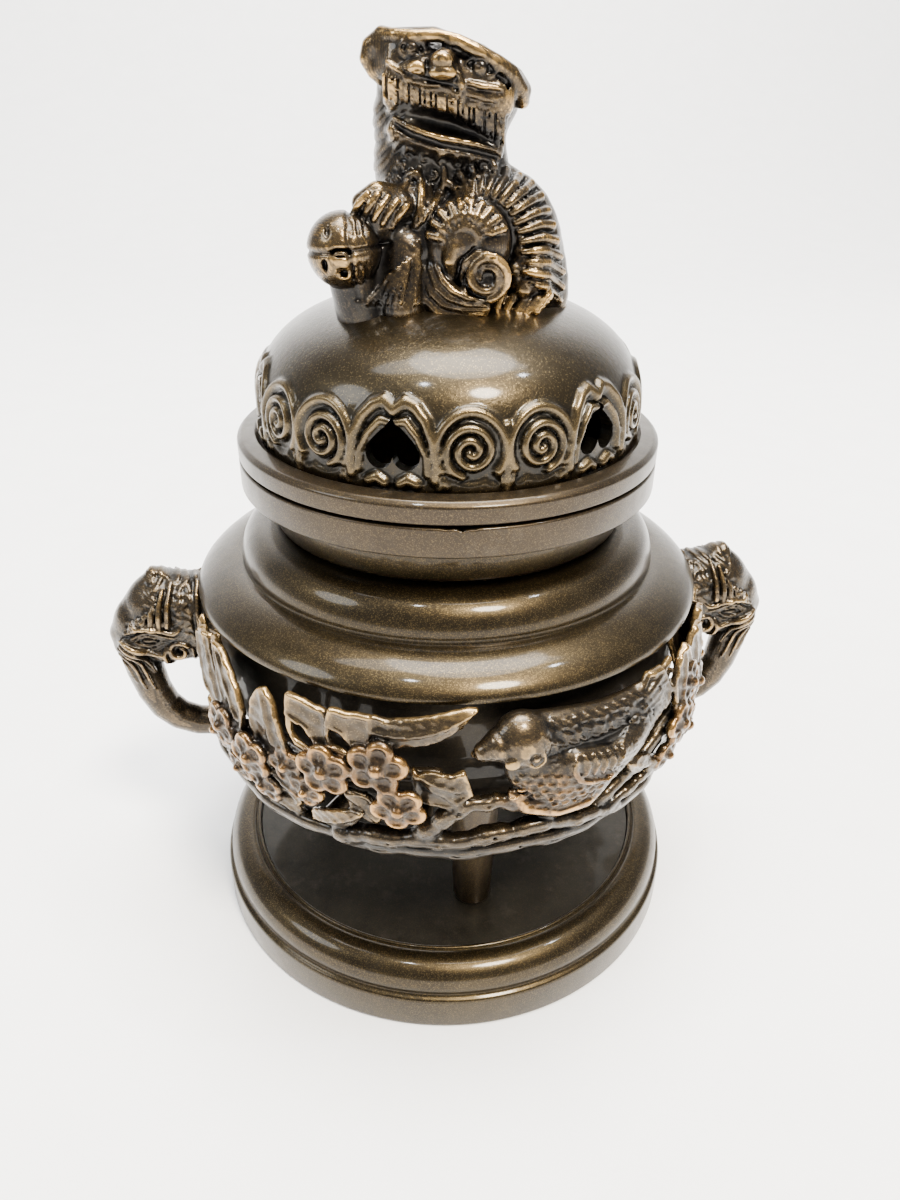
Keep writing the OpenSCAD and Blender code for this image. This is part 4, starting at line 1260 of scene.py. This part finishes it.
def branch(c, pts, radii, h, knots=()):
    """A gnarled branch through azimuth and height points; knots are (place along it, size)."""
    n = 6 * len(pts)
    t = np.linspace(0, 1, n)
    Q = np.stack([along([a * DEG_MM for a, _z in pts], n), np.full(n, -float(h)),
        along([z for _a, z in pts], n)], 1)
    start = Q[0].copy()
    R = along(radii, n)
    Q[:, 2] += 0.22 * np.sin(t * 33 + start[2])
    c.tube(Q, R * (1 + 0.10 * np.sin(t * 41 + start[0]) + 0.07 * np.sin(t * 97)), 0.3)
    for place, size in knots:
        q = np.array([np.interp(place, t, Q[:, i]) for i in range(3)])
        c.ball(q + (0, -0.6 * size, 0.2), (size * 1.1, size * 0.8, size), 0.3)
        c.ball(q + (0, -1.35 * size, 0.2), (size * 0.45, size * 0.4, size * 0.4), 0.12, True)
    # Bark lines along it
    for off in (-0.45, 0.35):
        c.tube(Q[2:-2] + (0, -0.98, 0) * R[2:-2, None] + (0, 0, off), 0.16, 0.08, True)


def bird_body(c):
    # Body, back, rump and tail root
    c.rod([(10, -0.6, 49.6), (15, -0.9, 47.8), (22, -0.7, 47.4), (30, -0.4, 49.4), (37, -0.1, 51)],
        [4, 5, 4.6, 3.4, 2.2], 1, False, (1, 0.58))
    c.rod([(9, -0.4, 53.6), (16, -0.4, 53.2), (24, -0.3, 53), (33, 0, 53.4)],
        [3, 3, 2.6, 2], 1, False, (1, 0.66))
    # Head with a round crown, brightened by a painted highlight, stubby beak to the left
    c.lump((7, -1, 53.5), (3.75, 2.75, 3.7), 0.35)
    c.rod([(2.6, -1.4, 53.4), (0.2, -1.4, 52.7), (-1.6, -1.1, 52.1)], [2.05, 1.25, 0.4], 0.15)
    c.line([(3.6, 52.6), (1.2, 52.2), (-0.8, 51.9)], 0.13, 0.02, 0.05, True)
    c.lump((4.6, -3.4, 52), (0.95, 0.6, 0.85), 0.1)
    # Ring eye
    y = c.skin(8.6 * DEG_MM, 52.2, -1, -3.4)
    c.lump((8.6, y, 52.2), (0.95, 0.35, 0.95), 0.08, True)
    c.lump((8.6, y + 0.1, 52.2), (0.5, 0.4, 0.5), 0.05)
    c.tube([(8.6 * DEG_MM + 1.05 * math.cos(t), y - 0.05, 52.2 + 1.05 * math.sin(t))
        for t in np.linspace(0, 6.3, 14)], 0.17, 0.05)


def bird_feathers(c):
    # Head feathers
    for i in range(4):
        c.line([(9.6 + 0.8 * i, 55.4 - 0.5 * i), (11 + 0.7 * i, 53.6 - 0.5 * i),
            (11.2 + 0.6 * i, 51.6 - 0.4 * i)], [0.12, 0.2, 0.12], 0.03)
    # Scaly breast
    for row in range(7):
        for i in range(9):
            a = 4.9 + i * 1.95 + (row % 2) * 0.95
            z = 49.8 - row * 1.15 - 0.12 * i
            beyond = ((a - 14.5) / 10.5) ** 2 + ((z - 47.4) / 4.9) ** 2 > 1 or a > 21.5
            if beyond or (z > 49.5 and a > 9) or z < 49.9 - 0.5 * a:
                continue
            y = c.skin(a * DEG_MM, z, -1, -3.5)
            c.tube([(a * DEG_MM + 0.62 * math.cos(t), y - 0.02, z + 0.62 * math.sin(t))
                for t in np.linspace(3.3, 6.2, 7)], [0.1, 0.19, 0.22, 0.19, 0.1], 0.05)
            c.ball((a * DEG_MM, y, z + 0.15), (0.42, 0.16, 0.34), 0.05, True)


def bird_wing(c):
    # Wing: raised edge, short bars, then long quills sweeping up to the right
    c.rod([(16.5, -3, 50.2), (23, -2.9, 49.2), (31, -2.1, 50.2)], [1.7, 1.9, 1.2], 0.7, False, (1, 0.55))
    c.line([(15.6, 51.2), (15.2, 49.6), (16.4, 48), (19.5, 46.8), (24, 46.4)], [0.24, 0.36, 0.36, 0.3, 0.2],
        0.12, 0.1)
    for i in range(5):
        a = 17.2 + 1.7 * i
        c.line([(a, 51.4 - 0.15 * i), (a + 0.7, 50 - 0.15 * i), (a + 0.2, 48.5 - 0.12 * i)],
            [0.2, 0.34, 0.2], 0.08, 0.05)
    for i in range(9):
        z0, z1 = 51.6 - 0.62 * i, 54.4 - 0.66 * i
        c.line([(25.4 - 0.45 * i, z0 - 0.7), (31.5 - 0.2 * i, (z0 + z1) / 2 - 0.3), (40.5 - 0.6 * i, z1)],
            [0.2, 0.33, 0.24], 0.06, 0.05)
        c.line([(25.8 - 0.45 * i, z0 - 1), (31.8 - 0.2 * i, (z0 + z1) / 2 - 0.6),
            (40.2 - 0.6 * i, z1 - 0.33)], 0.12, 0.02, 0.05, True)
    # Back feathers in overlapping rows
    for row in range(3):
        for i in range(10):
            a = 12.2 + 2.3 * i + (row % 2) * 1.1
            z = 55.9 - 1.15 * row - 0.09 * i
            c.line([(a, z), (a + 1.3, z - 0.7), (a + 2.3, z - 0.9)], [0.14, 0.24, 0.14], 0.06, 0.05)
    # Tail plates
    for i in range(5):
        c.rod([(32 + 0.3 * i, -1 - 0.1 * i, 53.2 - 0.9 * i), (38 + 0.2 * i, -0.9, 55.2 - 1.2 * i),
            (43.5 - 0.4 * i, -0.5, 56.4 - 1.5 * i)], [0.6, 0.8, 0.5], 0.10)
        c.line([(33 + 0.3 * i, 53.4 - 0.9 * i), (42 - 0.4 * i, 56 - 1.4 * i)], 0.12, 0.02, 0.05, True)
    # Smooth pad under the breast
    c.rod([(5.8, -0.9, 45.6), (8.6, -1.4, 43.6), (14, -1.7, 42.5), (20, -1.6, 42.3), (25.5, -1, 43.4)],
        [0.7, 1.3, 1.5, 1.4, 0.8], 0.5)
    c.line([(8.6, 44.2), (14, 43.1), (21, 42.9)], 0.16, 0, 0.06, True)


# Leaves: base and tip as (azimuth, height), width, how far base and tip stand out, and options
LEAVES = (
    ((-70, 46), (-73, 57), 5, -0.8, -0.6, {}),
    ((-16.2, 53.6), (-3, 55.8), 3, 0.3, 0.4, {'fold': 0.2}),
    ((-19.5, 54.6), (-0.8, 58.4), 5, 1, 1.2, {'bend': -1, 'fold': 0.6, 'bow': 0.7}),
    ((-30, 41.8), (-41, 43), 4.6, 0.9, 0.8, {'bend': 0.5}),
    ((-33.6, 37.2), (-21.4, 41.8), 4.8, 1, 1.3, {'bend': -0.5}),
    ((-50, 40.6), (-60.5, 40), 4.2, 0.3, 0.2, {}),
    ((-58, 36.2), (-50, 41.4), 4.2, 0.4, 0.6, {}),
    ((-38.5, 35.2), (-46.5, 40.8), 4, 0.5, 0.7, {}),
    ((-66, 37), (-71, 44.6), 4.2, -0.3, -0.6, {}),
    ((40, 40.6), (31, 44.4), 4.2, 0.6, 0.8, {}),
    ((46, 36.2), (39.6, 41.8), 4.2, 0.8, 0.9, {}),
    ((58, 41), (66.5, 42.4), 4.4, 0.3, 0.2, {}),
    ((52, 36.4), (60, 40.6), 4.2, 0.4, 0.5, {}),
    ((28.5, 44.6), (35.5, 47.4), 3.4, 0.4, 0.6, {}),
    ((-3.4, 46.6), (-11.4, 49.2), 4.4, 0.9, 1, {'fold': 0.2}),
)
# Broad leaves: outline, how far they stand out, slopes sideways and upward, and the rib
PLATES = (
    ([(-71, 55.6), (-68, 57.2), (-64.2, 56.8), (-59.6, 50), (-58.4, 45.6), (-64, 45.4), (-69, 48)],
     0.1, -0.1, 0.03, ((-66, 56.6), (-62, 47))),
    ([(-63.4, 57.4), (-58.6, 57.4), (-55.5, 56.6), (-50.4, 53.6), (-48.4, 50.6), (-49.6, 46.4),
      (-55, 46), (-59.6, 49.6)], 0.5, 0.14, 0.05, ((-60.4, 57.4), (-51.4, 48.6))),
    ([(-46.2, 53.6), (-44.2, 55.6), (-42, 56.4), (-40, 55.2), (-38, 51.6), (-36.6, 48.2), (-40, 46.4),
      (-45.8, 46.6), (-47.6, 50.2)], 1, 0.12, 0.04, ((-42.8, 55.2), (-40.6, 48.4))),
    ([(-36, 57.6), (-33.6, 57.4), (-28.2, 56.2), (-27.2, 53.2), (-27.6, 50.4), (-30.8, 50.6),
      (-32.4, 52.8), (-36.6, 54.2)], 1.3, -0.1, 0.1, None),
    ([(-27.2, 57.3), (-24, 57), (-19.4, 56.9), (-19.2, 54.4), (-20.4, 52.2), (-23.6, 52.2),
      (-25.2, 53.6), (-28.2, 54.4)], 1.5, -0.08, 0.12, None),
    ([(-19.6, 56.8), (-16.2, 56.4), (-13.2, 56.6), (-12.8, 53.8), (-14.4, 52.6), (-19.2, 52.8)],
     1.2, 0.1, 0.1, None),
    ([(-12.6, 49.8), (-8.4, 47.9), (-3, 49.9), (-1.4, 46), (-5.6, 43.4), (-12, 44.4)],
     1, 0.08, 0.06, ((-11.4, 48.6), (-4.6, 44.8))),
    ([(-25.4, 45.2), (-20.4, 44.4), (-17.8, 41.4), (-19.6, 38.2), (-24.4, 40.6)],
     0.7, -0.05, 0.08, ((-24.4, 44.6), (-19.8, 39.6))),
    ([(-42.6, 43.6), (-38.2, 43.9), (-35.4, 40.4), (-37.4, 37), (-42, 38.8)],
     0.5, 0.05, 0.06, ((-41.6, 43), (-37.4, 38.2))),
    ([(-53.4, 44.6), (-50, 45.4), (-48.2, 42), (-50, 37.4), (-54.6, 40)],
     0.3, 0.05, 0.04, ((-52.6, 44), (-50.4, 38.8))),
    ([(69.6, 56.2), (74, 57.2), (78.6, 56.2), (78.8, 47), (72.4, 44.6), (69.4, 50)],
     -0.4, 0, 0.02, ((74.4, 56.4), (74.8, 46.4))),
    ([(58, 45.6), (60, 52), (63, 57), (70, 57.6), (75, 56), (78, 50), (77, 45)],
     -2.8, 0, -0.4, ((66.4, 56.4), (67.6, 46.6))),
    ([(33, 54.8), (35.6, 57), (39.6, 56.8), (43, 52.4), (42, 49.4), (37.5, 50.6)],
     0.9, 0.12, 0.05, ((36.6, 56.4), (41, 50.6))),
    ([(42.6, 53), (44.6, 56.6), (47.6, 57.9), (50.6, 56.4), (53.6, 52), (52, 47.2), (45.6, 47.6)],
     1.3, -0.1, 0.04, ((47.4, 57.2), (49.4, 48.8))),
    ([(52.6, 54.6), (56, 57.4), (59.6, 57.2), (63.6, 51), (61.6, 46.4), (55, 48.6)],
     0.8, 0.08, 0.04, ((56.4, 56.6), (59.8, 48))),
    ([(62.6, 53), (65.6, 56.6), (69.6, 56.4), (72, 48.6), (66, 46)],
     0.2, 0.1, 0.03, ((66.4, 56), (68.2, 47.6))),
)
# Blossoms: azimuth, height, radius, how far they stand out, and turn
FLOWERS = (
    (-28.4, 48, 3.55, 1.9, 8), (-18.3, 50.2, 3.6, 2, -10), (-14.6, 44.3, 3.3, 2.2, 30),
    (-46.5, 44.6, 3.4, 1.6, 20), (-44.2, 40.2, 2.9, 1.4, 0), (-57, 45.6, 3.2, 1, 40),
    (-37.4, 45.9, 2.7, 1, 15), (-64.5, 41.2, 2.9, 0.4, 10), (-33.2, 43, 2.5, 1.3, 50),
    (-54, 39, 2.6, 0.9, 30), (47.5, 45.4, 3.3, 1.7, 10), (54, 42, 3.2, 1.5, 35),
    (51.5, 50.6, 3, 1.2, -15), (59.5, 47.4, 3.1, 1, 0), (45, 40.6, 2.7, 1.5, 40),
    (65, 40.8, 2.7, 0.5, 15), (67.5, 48.6, 2.8, 0.2, 0),
)


def branches(c):
    # Stems back to the bowl
    for az in (-68, -35, -12, 30, 52):
        c.rod([(az, 0.5, 33), (az, 9.5, 33)], 1.5, 0.4)
    # Lower branch from end to end, and the ones that fork from it
    branch(c, [(-73, 34.6), (-60, 33.4), (-45, 33.2), (-30, 34.2), (-20, 33.4), (-10, 33.8), (2, 33.2),
        (14, 33.8), (26, 32.8), (38, 33.4), (52, 32.9), (64, 33.6), (73, 34.8)],
        [1.4, 1.8, 1.9, 2, 2, 1.9, 1.8, 1.8, 1.7, 1.4], 0.2,
        ((0.16, 0.9), (0.30, 1), (0.45, 0.8), (0.55, 0.9), (0.68, 0.8), (0.84, 0.9)))
    branch(c, [(-27.5, 35.4), (-22, 36.2), (-14, 36.9), (-5, 36.6), (3, 37.6), (10, 38.6), (18, 37.6),
        (26, 36.2), (33, 34.6)], [1.75, 1.6, 1.45, 1.4, 1.3, 1.2], 0.9, ((0.2, 0.8), (0.5, 0.75)))
    c.lump((-27.8, -1.3, 35.3), (1.2, 1.5, 1.5), 0.2)
    c.lump((-28.9, -1.4, 35.3), (0.35, 0.9, 0.9), 0.1, True)
    branch(c, [(-12, 37), (-7, 41), (-3, 43.6), (3, 44.2), (9, 42.6), (14, 40.4)],
        [1.5, 1.3, 1.1, 1, 1.1], 0.5, ((0.35, 0.7),))
    branch(c, [(-66, 34.5), (-61, 40), (-55, 45), (-46, 47.5), (-36, 47), (-26, 45.5), (-17, 47), (-8, 48)],
        [1.3, 1.2, 1.1, 1.1, 1, 0.9], -0.6, ((0.2, 0.7),))
    branch(c, [(22, 34.5), (30, 38.6), (36, 42), (44, 45), (54, 46), (64, 43.5), (71, 38.5)],
        [1.4, 1.2, 1.1, 1, 1, 0.9], -0.2, ((0.3, 0.7),))
    branch(c, [(30, 36), (38, 37.8), (46, 38.4), (55, 37.6), (64, 35.8)], [1.2, 1, 0.9, 0.9], 0.6)


def leaves(c):
    # From the back layer to the front
    for base, tip, width, out0, out1, options in LEAVES:
        leaf(c, base, tip, width, out0, out1, **options)
    for pts, out, side_slope, up_slope, rib in PLATES:
        plate(c, pts, out, side_slope, up_slope, rib)
    # Two on the left have a dark hollow under the fold
    for pts in (((-36.4, 54.2), (-36.2, 52), (-34.6, 50.2), (-32, 49.6)),
                ((-28.2, 54.4), (-28, 52.6), (-26.4, 51), (-24.4, 50.6))):
        c.rod([(a, -0.9, z) for a, z in pts], [0.5, 0.5, 0.5, 0.4], 0.15)
    for az, z in ((-33.9, 52), (-26, 52.6)):
        c.lump((az, -0.9, z), (1.15, 1.7, 1.5), 0.15, True)


def copper_parts(P):
    """1 on the blossoms and 0.8 on the bird's breast, where the copper is rubbed bare."""
    w = np.zeros(len(P))
    for az, z, r, h, _turn in FLOWERS:
        d = np.hypot(P[:, 0] - az * DEG_MM, P[:, 2] - z)
        w = np.maximum(w, np.clip((r * 1.1 - d) / 0.5, 0, 1) * np.clip((-P[:, 1] - h + 0.9) / 0.5, 0, 1))
    breast = ((P[:, 0] / DEG_MM - 14) / 11.5) ** 2 + ((P[:, 2] - 45.2) / 4.9) ** 2
    return np.maximum(w, 0.8 * np.clip((1 - breast) / 0.3, 0, 1) * np.clip(-P[:, 1] - 0.5, 0, 1))


def bird_tone(P):
    """Extra brightness: a painted highlight on the bird's crown, and a lighter tone on its body and pad."""
    a, z, out = P[:, 0] / DEG_MM, P[:, 2], np.clip((-P[:, 1] - 1.2) / 0.8, 0, 1)
    crown = np.clip(1.3 - np.hypot((a - 6.5) / 5.2, (z - 53.9) / 3.4), 0, 1)
    body = np.clip(1.25 - np.hypot((a - 15) / 11, (z - 47.5) / 5.6), 0, 0.5)
    edge = [(5.8 * DEG_MM, 45.4), (8.6 * DEG_MM, 43.2), (14 * DEG_MM, 42), (25.5 * DEG_MM, 42.9)]
    pad = np.exp(-(seg_dist(P[:, 0], z, edge) / 0.9) ** 2)
    return out * (0.35 * crown + 0.36 * body + 0.20 * pad)


def wrap(P):
    """The unrolled clay, bent round the belly."""
    a, r = P[:, 0] / FLAT_R, belly_r(P[:, 2]) - P[:, 1]
    return np.stack([np.sin(a) * r, -np.cos(a) * r, P[:, 2]], 1)


def relief():
    c = ReliefClay((-53.5, -5, 28.6), (53.5, 11, 60.6), 0.30)
    branches(c)
    leaves(c)
    for flower in FLOWERS:
        blossom(c, *flower)
    for part in (bird_body, bird_feathers, bird_wing):
        part(c)
    # The leaf tips stop under the lip of the shoulder, and nothing stands out past the handles
    c.keep(lambda x, y, z: np.minimum(z - 57.2, y + 0.35) + 0 * x)
    c.keep(lambda x, y, z: -y - np.clip(3.75 + np.maximum(0, np.abs(x) - 5.5) * 0.09, 0, 4.7) + 0 * z)
    kinds = ("branches_", "leaves_", "blossoms_", "bird_")
    # The bird's extra brightness includes a painted highlight on its crown.
    c.fire(("openwork_front", "openwork_rear"), M_COPPER, "burner", "copper_relief",
           [tuple(k + end for k in kinds) for end in ("front", "rear")], wrap, bird_tone, copper_parts)


relief()

# ---------------------------------------------------------------- carried-over nodes
CARRY = {"felt_pad": M_FELT, "ash_liner": M_LINER, "bowl": M_BOWL}
CARRY.update(dict.fromkeys(("leg_screws", "handle_screws", "finial_screw", "finial_washer"), M_STEEL))
CARRY.update(dict.fromkeys(("leg_front", "leg_left", "leg_right"), M_BAND))
for n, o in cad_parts.items():
    o.data.materials.clear()
    o.data.materials.append(CARRY.get(n, M_CAST))

# ---------------------------------------------------------------- stage, light, camera
def floor():
    """A pale floor that sweeps up behind the object."""
    prof = [(-1.6, 0.0), (0.55, 0.0)] + arc(0.55, 0.5, 0.5, math.degrees(0.1) - 90, 0, 13) + [(1.05, 1.6)]
    me = bpy.data.meshes.new("floor")
    me.from_pydata([(x, y, z) for y, z in prof for x in (-1.8, 1.8)], [],
                   [(2 * i, 2 * i + 1, 2 * i + 3, 2 * i + 2) for i in range(len(prof) - 1)])
    me.polygons.foreach_set("use_smooth", [True] * len(me.polygons))
    ob = bpy.data.objects.new("floor", me)
    bpy.context.scene.collection.objects.link(ob)
    m = Nodes("pale_floor")
    tint = m.ramp(m.noise(60, 4, 0.6), [(0.3, col(0.90, 0.90, 0.905)), (0.8, col(0.94, 0.94, 0.945))])
    me.materials.append(m.set(Base_Color=tint, Roughness=0.85,
        Normal=m.bump(m.noise(900, 4, 0.6), 0.2, 0.0003)))


# Name, place, target, size, power and colour of each lamp
LAMPS = (
    ("overhead", (0.12, 0.1, 1.3), (0, 0.05, 0), 0.8, 38.0, (1.0, 0.975, 0.93)),
    ("key", (0.22, -0.48, 0.85), (0, 0, 0.06), 0.22, 25.0, (1.0, 0.90, 0.74)),
    ("fill_left", (-0.7, -0.2, 0.6), (0, 0, 0.06), 0.35, 4.0, (0.90, 0.95, 1.0)),
    ("spot_a", (-0.20, -0.30, 0.95), (0, 0, 0.07), 0.05, 2.0, (0.92, 0.96, 1.0)),
    ("spot_b", (0.45, -0.10, 0.9), (0, 0, 0.07), 0.05, 2.0, (0.92, 0.96, 1.0)),
    ("wall", (0.0, 0.1, 0.9), (0, 1.1, 0.45), 0.8, 18.0, (1, 1, 1)))


def studio():
    w = bpy.data.worlds.new("studio")
    bpy.context.scene.world = w
    w.use_nodes = True
    back = w.node_tree.nodes["Background"]
    back.inputs["Color"].default_value = (1.0, 1.0, 1.0, 1)
    back.inputs["Strength"].default_value = 0.60
    for name, place, target, size, power, colour in LAMPS:
        lamp = bpy.data.lights.new(name, "AREA")
        lamp.shape, lamp.size, lamp.energy, lamp.color = "DISK", size, power, colour
        ob = bpy.data.objects.new(name, lamp)
        bpy.context.scene.collection.objects.link(ob)
        ob.location = place
        ob.rotation_euler = (Vector(target) - Vector(place)).to_track_quat("-Z", "Y").to_euler()


def camera():
    pos = Vector((-14.05, -122.45, 120.86)) * MM
    pitch, head, roll = math.radians(29.51), math.radians(6.81), math.radians(0.63)
    fwd = Vector((math.sin(head) * math.cos(pitch), math.cos(head) * math.cos(pitch), -math.sin(pitch)))
    right = fwd.cross(Vector((0, 0, 1))).normalized()
    up = right.cross(fwd)
    r2 = right * math.cos(roll) + up * math.sin(roll)
    u2 = up * math.cos(roll) - right * math.sin(roll)
    cam = bpy.data.objects.new("camera", bpy.data.cameras.new("camera"))
    bpy.context.scene.collection.objects.link(cam)
    cam.data.lens, cam.data.sensor_width, cam.data.clip_start = 27, 36, 0.01
    rows = [(r2[i], u2[i], -fwd[i], pos[i]) for i in range(3)]
    cam.matrix_world = Matrix(rows + [(0, 0, 0, 1)])
    bpy.context.scene.camera = cam


floor()
studio()
camera()
